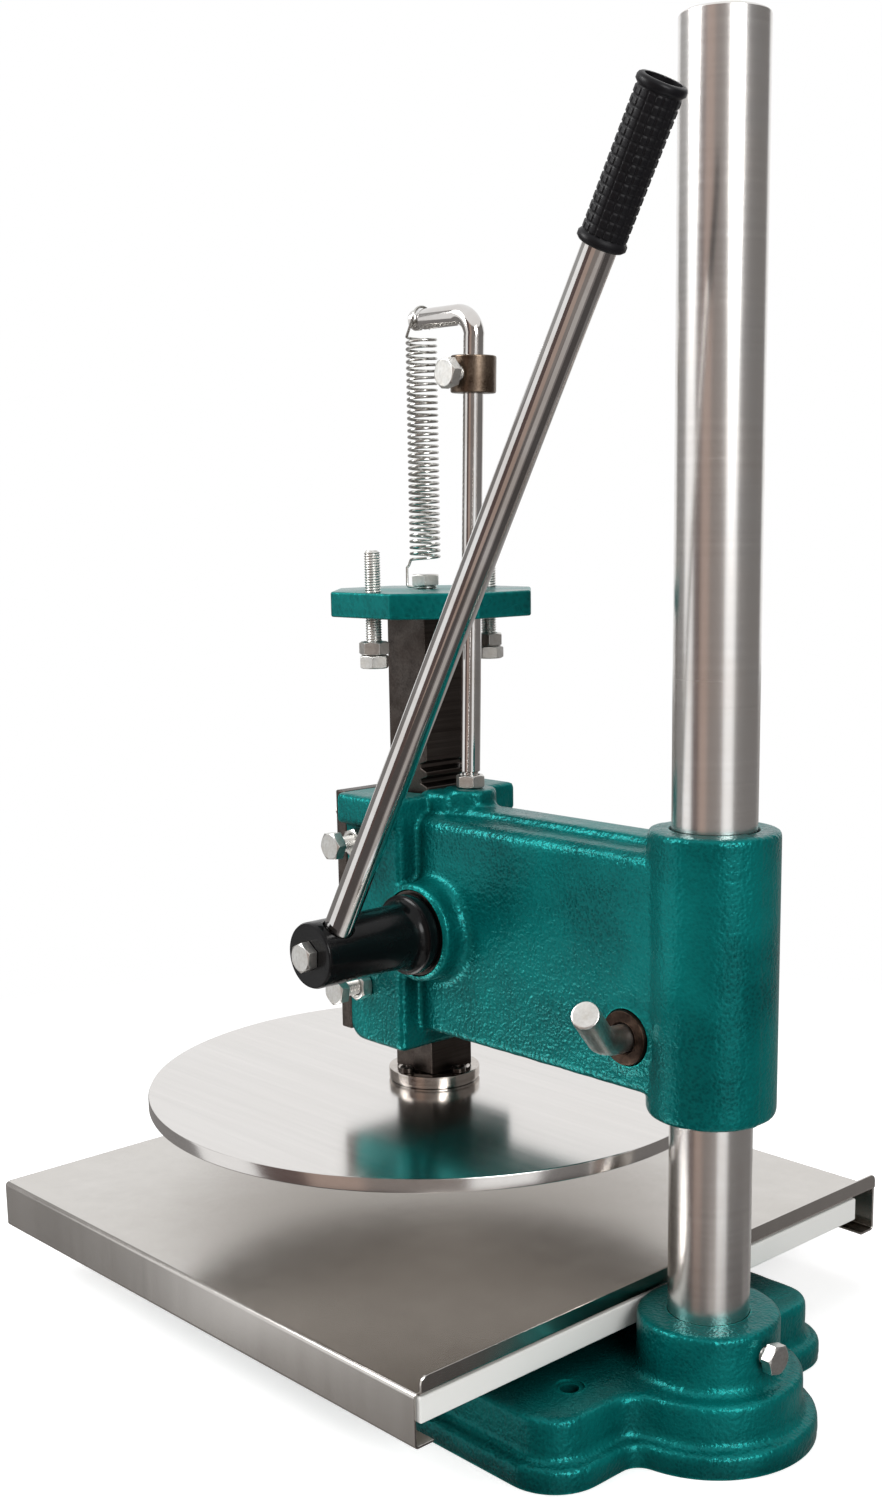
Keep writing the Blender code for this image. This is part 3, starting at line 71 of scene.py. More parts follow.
class Axis(Enum):
    """The direction that a turned or hexagonal piece's own Z axis points in."""

    X = (0.0, math.pi / 2, 0.0)
    Y = (-math.pi / 2, 0.0, 0.0)
    Z = (0.0, 0.0, 0.0)
    MINUS_X = (0.0, -math.pi / 2, 0.0)
    MINUS_Y = (math.pi / 2, 0.0, 0.0)
    SECTION = (math.pi / 2, 0.0, math.pi / 2)
    ELEVATION = (math.pi / 2, 0.0, 0.0)


class Slot(Enum):
    """The record's material slots."""

    ENAMEL = "enamel"
    STAINLESS = "stainless"
    POLISHED = "polished"
    ZINC = "zinc"
    DARK_STEEL = "dark_steel"
    BLACK_GLOSS = "black_gloss"
    BLACK_PLASTIC = "black_plastic"
    BOARD = "board"
    CHROME = "chrome"
    BROWN_STEEL = "brown_steel"
    SPRING_WIRE = "spring_wire"


class Body(Enum):
    """The CAD bodies that pieces ride on."""

    STAND = "stand"
    TRAY = "tray"
    COLUMN = "column"
    ARM = "arm"
    CLAMP = "clamp"
    COLLAR = "collar"
    RAM = "ram"
    LEVER = "lever"


# ---------------------------------------------------------------- mesh tools

def mesh_object(name: str, bm: bmesh.types.BMesh) -> bpy.types.Object:
    """Turn a bmesh into a scene object at the origin.

    Args:
        name: the object's name.
        bm: the mesh, which is freed.

    Returns:
        The new object.
    """
    bmesh.ops.recalc_face_normals(bm, faces=bm.faces)
    mesh = bpy.data.meshes.new(name)
    bm.to_mesh(mesh)
    bm.free()
    obj = bpy.data.objects.new(name, mesh)
    bpy.context.scene.collection.objects.link(obj)
    return obj


def skin_rings(bm: bmesh.types.BMesh, rings: Sequence[Sequence[bmesh.types.BMVert]]) -> None:
    """Join rings of equal count with faces and close both ends.

    Args:
        bm: the mesh that holds the rings.
        rings: the rings in order.
    """
    count = len(rings[0])
    for first, second in zip(rings, rings[1:]):
        for i in range(count):
            j = (i + 1) % count
            bm.faces.new((first[i], first[j], second[j], second[i]))
    bm.faces.new(list(reversed(rings[0])))
    bm.faces.new(rings[-1])


def stand(obj: bpy.types.Object, origin: Sequence[float], axis: Axis = Axis.Z,
          turn: float = 0.0) -> bpy.types.Object:
    """Put a piece at an origin with its Z axis along an axis.

    Args:
        obj: the piece.
        origin: where its own origin goes.
        axis: where its own Z axis points.
        turn: an angle about its own Z axis, in radians.

    Returns:
        The same piece.
    """
    lean = Matrix.Rotation(axis.value[2], 4, "Z") @ Matrix.Rotation(axis.value[1], 4, "Y")
    lean = lean @ Matrix.Rotation(axis.value[0], 4, "X") @ Matrix.Rotation(turn, 4, "Z")
    obj.matrix_world = Matrix.Translation(Vector(origin)) @ lean
    return obj


def lathe(name: str, profile: Profile, segments: int = 96, closed: bool = False) -> bpy.types.Object:
    """Turn a profile round the Z axis.

    Args:
        name: the object's name.
        profile: (radius, height) points down the outer side; a closed one makes a ring.
        segments: facets round the axis.
        closed: whether the profile's last point joins its first.

    Returns:
        The turned piece.
    """
    bm = bmesh.new()
    loops = []
    for radius, height in profile:
        turns = [2 * math.pi * (step + 0.5) / segments for step in range(segments)]
        loops.append([bm.verts.new((radius * math.cos(a), radius * math.sin(a), height)) for a in turns])
    pairs = list(zip(loops, loops[1:]))
    if closed:
        pairs.append((loops[-1], loops[0]))
    for upper, lower in pairs:
        for i in range(segments):
            j = (i + 1) % segments
            bm.faces.new((lower[i], lower[j], upper[j], upper[i]))
    if not closed:
        bm.faces.new(loops[0])
        bm.faces.new(list(reversed(loops[-1])))
    return mesh_object(name, bm)


def prism(name: str, outline: Profile, low: float, high: float) -> bpy.types.Object:
    """Extrude a flat outline along Z.

    Args:
        name: the object's name.
        outline: the (x, y) points in order.
        low: where it starts.
        high: where it ends.

    Returns:
        The prism.
    """
    bm = bmesh.new()
    floor = [bm.verts.new((x, y, low)) for x, y in outline]
    roof = [bm.verts.new((x, y, high)) for x, y in outline]
    count = len(outline)
    for i in range(count):
        j = (i + 1) % count
        bm.faces.new((floor[i], floor[j], roof[j], roof[i]))
    bm.faces.new(list(reversed(floor)))
    bm.faces.new(roof)
    return mesh_object(name, bm)


def block(name: str, low: Sequence[float], high: Sequence[float], rounding: float = 0.0,
          segments: int = 3) -> bpy.types.Object:
    """A block between two corners, with rounded edges.

    Args:
        name: the object's name.
        low: its lowest corner.
        high: its highest corner.
        rounding: the edges' radius, 0 for sharp ones.
        segments: steps round an edge.

    Returns:
        The block.
    """
    start, end = Vector(low), Vector(high)
    bm = bmesh.new()
    bmesh.ops.create_cube(bm, size=1)
    bmesh.ops.scale(bm, vec=end - start, verts=bm.verts)
    bmesh.ops.translate(bm, vec=(start + end) / 2, verts=bm.verts)
    if rounding:
        bmesh.ops.bevel(bm, geom=bm.edges[:], offset=rounding, segments=segments, profile=0.5,
                        affect="EDGES")
    return mesh_object(name, bm)


def sweep(name: str, path: Sequence[Sequence[float]], radii: Sequence[float] | float,
          sides: int = 24) -> bpy.types.Object:
    """Run a circle along a path, carried without twist.

    Args:
        name: the object's name.
        path: the middle line's points.
        radii: one radius, or one for each point.
        sides: facets round the path.

    Returns:
        The swept bar.
    """
    points = [Vector(p) for p in path]
    sizes = [radii] * len(points) if isinstance(radii, float) else list(radii)
    bm = bmesh.new()
    loops = []
    across = None
    for index, point in enumerate(points):
        ahead = points[min(index + 1, len(points) - 1)] - point
        behind = point - points[max(index - 1, 0)]
        along = (ahead.normalized() + behind.normalized()).normalized()
        if across is None:
            across = along.orthogonal()
        across = (across - along * across.dot(along)).normalized()
        over = along.cross(across)
        ring = []
        for side in range(sides):
            a = 2 * math.pi * side / sides
            ring.append(bm.verts.new(point + (across * math.cos(a) + over * math.sin(a)) * sizes[index]))
        loops.append(ring)
    skin_rings(bm, loops)
    return mesh_object(name, bm)


def arc(centre: tuple[float, float], radius: float, start: float, end: float, steps: int) -> Profile:
    """Points on an arc.

    Args:
        centre: the arc's middle.
        radius: its radius.
        start: its first angle, in degrees.
        end: its last angle, in degrees.
        steps: how many steps it takes.

    Returns:
        The points, first to last.
    """
    angles = [math.radians(start + (end - start) * step / steps) for step in range(steps + 1)]
    return [(centre[0] + radius * math.cos(a), centre[1] + radius * math.sin(a)) for a in angles]


def bevel(obj: bpy.types.Object, width: float, segments: int = 3, angle: float = 40.0) -> bpy.types.Object:
    """Add a bevel that rounds edges sharper than an angle in degrees."""
    modifier = obj.modifiers.new("round", "BEVEL")
    modifier.width = width
    modifier.segments = segments
    modifier.limit_method = "ANGLE"
    modifier.angle_limit = math.radians(angle)
    modifier.harden_normals = False
    return obj


def settle(obj: bpy.types.Object) -> bpy.types.Object:
    """Apply a piece's modifiers to its mesh."""
    bpy.context.view_layer.update()
    evaluated = obj.evaluated_get(bpy.context.evaluated_depsgraph_get())
    mesh = bpy.data.meshes.new_from_object(evaluated)
    obj.modifiers.clear()
    obj.data = mesh
    mesh.name = obj.name
    return obj


def combine(obj: bpy.types.Object, operation: str, tools: Iterable[bpy.types.Object]) -> bpy.types.Object:
    """Apply Booleans and delete the tools.

    Args:
        obj: the piece to change.
        operation: UNION, DIFFERENCE or INTERSECT.
        tools: the shapes to add or take away.

    Returns:
        The same piece with a settled mesh.
    """
    tools = list(tools)
    solver = "MANIFOLD" if len(obj.data.polygons) > 20000 else "EXACT"
    for tool in tools:
        modifier = obj.modifiers.new(tool.name, "BOOLEAN")
        modifier.operation = operation
        modifier.solver = solver
        modifier.object = tool
    settle(obj)
    for tool in tools:
        bpy.data.objects.remove(tool)
    return obj


def smooth_faces(obj: bpy.types.Object, angle: float = 35.0) -> bpy.types.Object:
    """Shade a piece smooth but for edges sharper than an angle in degrees, large faces first."""
    obj.data.shade_smooth()
    obj.data.set_sharp_from_angle(angle=math.radians(angle))
    if len(obj.data.polygons) < 60000:
        even = obj.modifiers.new("even", "WEIGHTED_NORMAL")
        even.mode = "FACE_AREA"
        even.weight = 50
        even.keep_sharp = True
        settle(obj)
    return obj


@dataclass(frozen=True)
class Foundry:
    """Turns a joined shape into a sand casting: soft corners, fillets and an uneven skin.

    The skin regains by a fixed lift what smoothing takes off.
    """

    voxel: float = 1.3 * MM
    soften: int = 3
    regain: float = 0.25 * MM
    swell: float = 0.22 * MM
    swell_size: float = 11 * MM
    grit: float = 0.07 * MM
    grit_size: float = 3.2 * MM
    flat_floor: float = 2 * MM

    def pour(self, obj: bpy.types.Object) -> bpy.types.Object:
        """Cast the piece.

        Args:
            obj: the joined shape.

        Returns:
            The same piece with its casting skin.
        """
        remesh = obj.modifiers.new("skin", "REMESH")
        remesh.mode = "VOXEL"
        remesh.voxel_size = self.voxel * 1.0
        soft = obj.modifiers.new("soft", "SMOOTH")
        soft.factor = 0.5
        soft.iterations = self.soften
        settle(obj)
        outward = [vertex.normal.copy() for vertex in obj.data.vertices]
        for vertex, normal in zip(obj.data.vertices, outward):
            place = vertex.co
            if place.z < self.flat_floor:
                continue
            lift = self.regain + self.swell * noise.noise(place / self.swell_size)
            lift += self.grit * noise.noise(place / self.grit_size + Vector((7, 3, 5)))
            vertex.co = place + normal * lift
        return obj


# ---------------------------------------------------------------- shader tools

class Graph:
    """Short ways to add and wire nodes in one node tree."""

    def __init__(self, tree: bpy.types.NodeTree) -> None:
        """Keep the tree."""
        self.tree = tree

    def add(self, kind: str, settings: dict | None = None, **inputs: object) -> bpy.types.Node:
        """Add a node.

        Args:
            kind: the node's type name without "ShaderNode".
            settings: attributes to set on it.
            inputs: values or sockets for its inputs, with _ for a space.

        Returns:
            The node.
        """
        node = self.tree.nodes.new("ShaderNode" + kind)
        for key, value in (settings or {}).items():
            setattr(node, key, value)
        for key, value in inputs.items():
            self.feed(node.inputs[key.replace("_", " ")], value)
        return node

    def feed(self, socket: bpy.types.NodeSocket, value: object) -> None:
        """Give a socket a link or a value."""
        if isinstance(value, bpy.types.NodeSocket):
            self.tree.links.new(value, socket)
        else:
            socket.default_value = value

    def math(self, operation: str, first: object, second: object = 0.0, clamp: bool = False,
             ) -> bpy.types.NodeSocket:
        """Do one sum on values.

        Args:
            operation: the Math node's operation.
            first: its first value or socket.
            second: its second value or socket.
            clamp: whether the result stays from 0 to 1.

        Returns:
            The result's socket.
        """
        node = self.tree.nodes.new("ShaderNodeMath")
        node.operation = operation
        node.use_clamp = clamp
        self.feed(node.inputs[0], first)
        self.feed(node.inputs[1], second)
        return node.outputs[0]

    def spread(self, value: object, low: float, high: float, to_low: float = 0.0,
               to_high: float = 1.0) -> bpy.types.NodeSocket:
        """Map a value from one range to another.

        Args:
            value: the value's socket.
            low: the range's start.
            high: the range's end.
            to_low: the new start.
            to_high: the new end.

        Returns:
            The mapped value's socket.
        """
        node = self.tree.nodes.new("ShaderNodeMapRange")
        self.feed(node.inputs["Value"], value)
        for key, number in (("From Min", low), ("From Max", high), ("To Min", to_low), ("To Max", to_high)):
            node.inputs[key].default_value = number
        return node.outputs["Result"]

    def blend(self, share: object, first: object, second: object) -> bpy.types.NodeSocket:
        """Mix two colours.

        Args:
            share: how much of the second colour there is.
            first: the first colour or socket.
            second: the second colour or socket.

        Returns:
            The mixed colour's socket.
        """
        node = self.tree.nodes.new("ShaderNodeMix")
        node.data_type = "RGBA"
        self.feed(node.inputs[0], share)
        for socket, colour in ((node.inputs[6], first), (node.inputs[7], second)):
            self.feed(socket, (*colour, 1.0) if isinstance(colour, tuple) and len(colour) == 3 else colour)
        return node.outputs[2]


def new_group(name: str, inputs: dict[str, float | Point], outputs: Sequence[str],
              ) -> tuple[bpy.types.NodeTree, Graph, bpy.types.Node, bpy.types.Node]:
    """Start a shader node group.

    Args:
        name: the group's name.
        inputs: each input's name and default; three numbers make a vector.
        outputs: the names of its value outputs.

    Returns:
        The tree, its graph, and its input and output nodes.
    """
    tree = bpy.data.node_groups.new(name, "ShaderNodeTree")
    for key, default in inputs.items():
        kind = "NodeSocketVector" if isinstance(default, tuple) else "NodeSocketFloat"
        socket = tree.interface.new_socket(name=key, in_out="INPUT", socket_type=kind)
        socket.default_value = default
    for key in outputs:
        tree.interface.new_socket(name=key, in_out="OUTPUT", socket_type="NodeSocketFloat")
    graph = Graph(tree)
    return tree, graph, tree.nodes.new("NodeGroupInput"), tree.nodes.new("NodeGroupOutput")


class Effects:
    """The shader node groups that several finishes share."""

    def __init__(self) -> None:
        """Build each group once."""
        self.cast_skin = self._cast_skin()
        self.grain = self._grain()
        self.edge_wear_and_highlight = self._edge_wear_and_highlight()
        self.handling = self._handling()
        self.painted_shade = self._painted_shade()

    @staticmethod
    def _cast_skin() -> bpy.types.NodeTree:
        """Uneven enamel on a sand casting: a height, a fleck mask and a slow tone."""
        tree, g, given, out = new_group("cast_skin", {"Lump Size": 0.004, "Pit Size": 0.0016},
                                        ("Height", "Fleck", "Tone"))
        place = g.add("TexCoord").outputs["Object"]
        lumps = g.add("TexNoise", Vector=place, Detail=3.0, Roughness=0.55)
        g.feed(lumps.inputs["Scale"], g.math("DIVIDE", 1.0, given.outputs["Lump Size"]))
        pits = g.add("TexVoronoi", {"feature": "SMOOTH_F1"}, Vector=place, Smoothness=0.6)
        g.feed(pits.inputs["Scale"], g.math("DIVIDE", 1.0, given.outputs["Pit Size"]))
        slow = g.add("TexNoise", Vector=place, Scale=22.0, Detail=2.0)
        relief = g.math("MULTIPLY", pits.outputs["Distance"], 0.55)
        relief = g.math("ADD", relief, g.math("MULTIPLY", lumps.outputs["Fac"], 1.2))
        g.feed(out.inputs["Height"], relief)
        g.feed(out.inputs["Fleck"], g.spread(pits.outputs["Distance"], 0.15, 0.6))
        g.feed(out.inputs["Tone"], g.spread(slow.outputs["Fac"], 0.35, 0.65))
        return tree

    @staticmethod
    def _grain() -> bpy.types.NodeTree:
        """Fine brushed or ground lines, stretched along an axis."""
        along = (40.0, 40.0, 4000.0)
        tree, g, given, out = new_group("grain_lines", {"Stretch": along}, ("Height", "Mask"))
        place = g.add("TexCoord").outputs["Object"]
        scaled = g.add("VectorMath", {"operation": "MULTIPLY"})
        g.feed(scaled.inputs[0], place)
        g.feed(scaled.inputs[1], given.outputs["Stretch"])
        fine = g.add("TexNoise", Vector=scaled.outputs[0], Scale=1.0, Detail=5.0, Roughness=0.7)
        broad = g.add("TexNoise", Vector=scaled.outputs[0], Scale=0.13, Detail=3.0, Roughness=0.6)
        g.feed(out.inputs["Height"], fine.outputs["Fac"])
        mixed = g.math("ADD", g.math("MULTIPLY", fine.outputs["Fac"], 0.5),
                       g.math("MULTIPLY", broad.outputs["Fac"], 0.5))
        g.feed(out.inputs["Mask"], g.spread(mixed, 0.36, 0.64))
        return tree

    @staticmethod
    def _edge_wear_and_highlight() -> bpy.types.NodeTree:
        """A mask that follows sharp edges and breaks up along them: worn edges on metal and plastic, a
        painted highlight on the enamel.
        """
        tree, g, given, out = new_group("edge_wear_and_highlight", {"Radius": 0.001, "Gain": 6.0, "Breakup": 300.0},
                                        ("Mask",))
        rounded = g.add("Bevel", {"samples": 4})
        g.feed(rounded.inputs["Radius"], given.outputs["Radius"])
        plain = g.add("NewGeometry")
        dot = g.add("VectorMath", {"operation": "DOT_PRODUCT"})
        g.feed(dot.inputs[0], rounded.outputs["Normal"])
        g.feed(dot.inputs[1], plain.outputs["Normal"])
        bend = g.math("SUBTRACT", 1.0, dot.outputs["Value"])
        patches = g.add("TexNoise", Vector=g.add("TexCoord").outputs["Object"], Detail=3.0)
        g.feed(patches.inputs["Scale"], given.outputs["Breakup"])
        worn = g.math("MULTIPLY", bend, given.outputs["Gain"])
        worn = g.math("MULTIPLY", worn, g.spread(patches.outputs["Fac"], 0.4, 0.6, 0.25, 1.0))
        g.feed(out.inputs["Mask"], g.math("MINIMUM", worn, 1.0, clamp=True))
        return tree

    @staticmethod
    def _handling() -> bpy.types.NodeTree:
        """Slow smears and small specks, as handling leaves on a surface."""
        tree, g, given, out = new_group("handling", {"Smear Size": 0.03, "Speck Size": 0.0012},
                                        ("Smear", "Speck"))
        place = g.add("TexCoord").outputs["Object"]
        smear = g.add("TexNoise", Vector=place, Detail=4.0, Roughness=0.6, Distortion=0.6)
        g.feed(smear.inputs["Scale"], g.math("DIVIDE", 1.0, given.outputs["Smear Size"]))
        speck = g.add("TexVoronoi", Vector=place, Randomness=1.0)
        g.feed(speck.inputs["Scale"], g.math("DIVIDE", 1.0, given.outputs["Speck Size"]))
        g.feed(out.inputs["Smear"], g.spread(smear.outputs["Fac"], 0.35, 0.68))
        g.feed(out.inputs["Speck"], g.spread(speck.outputs["Distance"], 0.05, 0.16, 1.0, 0.0))
        return tree

    @staticmethod
    def _painted_shade() -> bpy.types.NodeTree:
        """A painted-shade mask that is 1 in the open and falls in corners and under other pieces, where
        shade is painted into the colour.
        """
        tree, g, given, out = new_group("painted_shade", {"Reach": 0.05, "Floor": 0.3}, ("Mask",))
        nearby = g.add("AmbientOcclusion", {"samples": 6})
        g.feed(nearby.inputs["Distance"], given.outputs["Reach"])
        open_air = g.spread(nearby.outputs["AO"], 0.15, 0.75)
        rest = g.math("SUBTRACT", 1.0, given.outputs["Floor"])
        share = g.math("MULTIPLY", open_air, rest)
        g.feed(out.inputs["Mask"], g.math("ADD", given.outputs["Floor"], share))
        return tree


def start_material(name: str) -> tuple[bpy.types.Material, Graph, bpy.types.Node]:
    """Start a material with one Principled shader.

    Args:
        name: the material's name.

    Returns:
        The material, its graph and the shader.
    """
    material = bpy.data.materials.new(name)
    material.use_nodes = True
    graph = Graph(material.node_tree)
    return material, graph, material.node_tree.nodes["Principled BSDF"]


def show_surface(graph: Graph, shader: bpy.types.NodeSocket) -> None:
    """Link a shader to the surface of its material."""
    out = next(node for node in graph.tree.nodes if node.type == "OUTPUT_MATERIAL")
    graph.feed(out.inputs["Surface"], shader)


def use_group(graph: Graph, tree: bpy.types.NodeTree, **inputs: object) -> bpy.types.Node:
    """Place a shared effect in a material.

    Args:
        graph: the material's graph.
        tree: the effect's node group.
        inputs: its values, with _ for a space.

    Returns:
        The group node.
    """
    node = graph.tree.nodes.new("ShaderNodeGroup")
    node.node_tree = tree
    for key, value in inputs.items():
        graph.feed(node.inputs[key.replace("_", " ")], value)
    return node


@dataclass(frozen=True)
class HammerEnamel:
    """Glossy metallic green enamel over a rough casting, with a painted highlight on its sharp edges and
    painted shade in its recesses.
    """

    name: str = "green_hammer_enamel"
    deep: Colour = (0.0004, 0.076, 0.076)
    bright: Colour = (0.0015, 0.205, 0.195)
    # edge is a painted highlight colour for the enamel's sharp edges.
    edge: Colour = (0.008, 0.50, 0.45)
    # shade is the painted shade colour that corners and undersides fall to.
    shade: Colour = (0.0002, 0.010, 0.011)
    lump: float = 3.0 * MM
    pit: float = 1.6 * MM
    relief: float = 0.9 * MM
    strength: float = 0.48

    def build(self, effects: Effects) -> bpy.types.Material:
        """Make the material from the shared effects."""
        material, g, shader = start_material(self.name)
        skin = use_group(g, effects.cast_skin, Lump_Size=self.lump, Pit_Size=self.pit)
        wear_and_highlight = use_group(g, effects.edge_wear_and_highlight, Radius=2.2 * MM, Gain=4.4, Breakup=240.0)
        colour = g.blend(g.math("MULTIPLY", skin.outputs["Tone"], 0.75), self.deep, self.bright)
        colour = g.blend(g.math("MULTIPLY", skin.outputs["Fleck"], 0.35), colour, self.bright)
        # Painted highlight: sharp edges blend towards the bright edge colour.
        colour = g.blend(g.math("MULTIPLY", wear_and_highlight.outputs["Mask"], 0.75), colour, self.edge)
        # Painted shade: the colour falls to the shade colour in corners, under the tray and between parts.
        painted_shade = use_group(g, effects.painted_shade, Reach=45 * MM, Floor=0.22)
        g.feed(shader.inputs["Base Color"], g.blend(painted_shade.outputs["Mask"], self.shade, colour))
        g.feed(shader.inputs["Roughness"], g.spread(skin.outputs["Tone"], 0.0, 1.0, 0.24, 0.36))
        bump = g.add("Bump", Strength=self.strength, Distance=self.relief, Height=skin.outputs["Height"])
        g.feed(shader.inputs["Normal"], bump.outputs["Normal"])
        shader.inputs["Metallic"].default_value = 0.5
        shader.inputs["Specular IOR Level"].default_value = 0.12
        shader.inputs["Coat Weight"].default_value = 0.03
        shader.inputs["Coat Roughness"].default_value = 0.12
        return material


@dataclass(frozen=True)
class Metal:
    """A bare or plated metal with grain, smears, brighter worn edges and, where a reach is given, painted
    shade under other pieces.
    """

    name: str
    dark: Colour
    light: Colour
    rough: tuple[float, float] = (0.2, 0.35)
    stretch: Point = (300.0, 300.0, 300.0)
    relief: float = 0.01 * MM
    strength: float = 0.3
    edge: Colour = (0.85, 0.84, 0.82)
    edge_share: float = 0.3
    smear: float = 0.3
    smear_size: float = 25 * MM
    stain: Colour | None = None
    # reach and shade paint shade into the colour under other pieces, such as the tray under the pressing
    # plate.
    reach: float = 0.0
    shade: Colour = (0.19, 0.16, 0.13)

    def build(self, effects: Effects) -> bpy.types.Material:
        """Make the material from the shared effects."""
        material, g, shader = start_material(self.name)
        grain = use_group(g, effects.grain, Stretch=self.stretch)
        hands = use_group(g, effects.handling, Smear_Size=self.smear_size)
        colour = g.blend(grain.outputs["Mask"], self.dark, self.light)
        if self.stain is not None:
            share = g.math("MULTIPLY", hands.outputs["Smear"], self.smear)
            colour = g.blend(share, colour, self.stain)
        if self.edge_share > 0:
            wear_and_highlight = use_group(g, effects.edge_wear_and_highlight, Radius=0.5 * MM, Gain=5.0, Breakup=500.0)
            share = g.math("MULTIPLY", wear_and_highlight.outputs["Mask"], self.edge_share)
            colour = g.blend(share, colour, self.edge)
        # Painted shade: under other pieces the colour falls to the shade colour.
        if self.reach > 0:
            painted_shade = use_group(g, effects.painted_shade, Reach=self.reach, Floor=0.0)
            colour = g.blend(painted_shade.outputs["Mask"], self.shade, colour)
        g.feed(shader.inputs["Base Color"], colour)
        low, high = self.rough
        rough = g.spread(grain.outputs["Mask"], 0.0, 1.0, low, (low + high) / 2)
        rough = g.math("ADD", rough, g.math("MULTIPLY", hands.outputs["Smear"], (high - low) / 2))
        g.feed(shader.inputs["Roughness"], rough)
        bump = g.add("Bump", Strength=self.strength, Distance=self.relief, Height=grain.outputs["Height"])
        g.feed(shader.inputs["Normal"], bump.outputs["Normal"])
        shader.inputs["Metallic"].default_value = 1.0
        return material


@dataclass(frozen=True)
class Moulding:
    """A dielectric: gloss paint, plastic or rubber, with smears and fine specks."""

    name: str
    colour: Colour
    worn: Colour
    rough: tuple[float, float] = (0.3, 0.5)
    relief: float = 0.02 * MM
    texture_size: float = 1.0 * MM
    coat: float = 0.0
    edge_share: float = 0.3
    speck_share: float = 0.0
    specular: float = 0.5

    def build(self, effects: Effects) -> bpy.types.Material:
        """Make the material from the shared effects."""
        material, g, shader = start_material(self.name)
        hands = use_group(g, effects.handling, Smear_Size=18 * MM)
        skin = use_group(g, effects.cast_skin, Lump_Size=self.texture_size * 3, Pit_Size=self.texture_size)
        wear_and_highlight = use_group(g, effects.edge_wear_and_highlight, Radius=0.6 * MM, Gain=4.0, Breakup=400.0)
        share = g.math("MULTIPLY", wear_and_highlight.outputs["Mask"], self.edge_share)
        specks = g.math("MULTIPLY", hands.outputs["Speck"], self.speck_share)
        share = g.math("ADD", share, specks, clamp=True)
        g.feed(shader.inputs["Base Color"], g.blend(share, self.colour, self.worn))
        g.feed(shader.inputs["Roughness"], g.spread(hands.outputs["Smear"], 0.0, 1.0, *self.rough))
        bump = g.add("Bump", Strength=0.3, Distance=self.relief, Height=skin.outputs["Height"])
        g.feed(shader.inputs["Normal"], bump.outputs["Normal"])
        shader.inputs["Specular IOR Level"].default_value = self.specular
        if self.coat:
            shader.inputs["Coat Weight"].default_value = self.coat
            shader.inputs["Coat Roughness"].default_value = 0.06
        return material


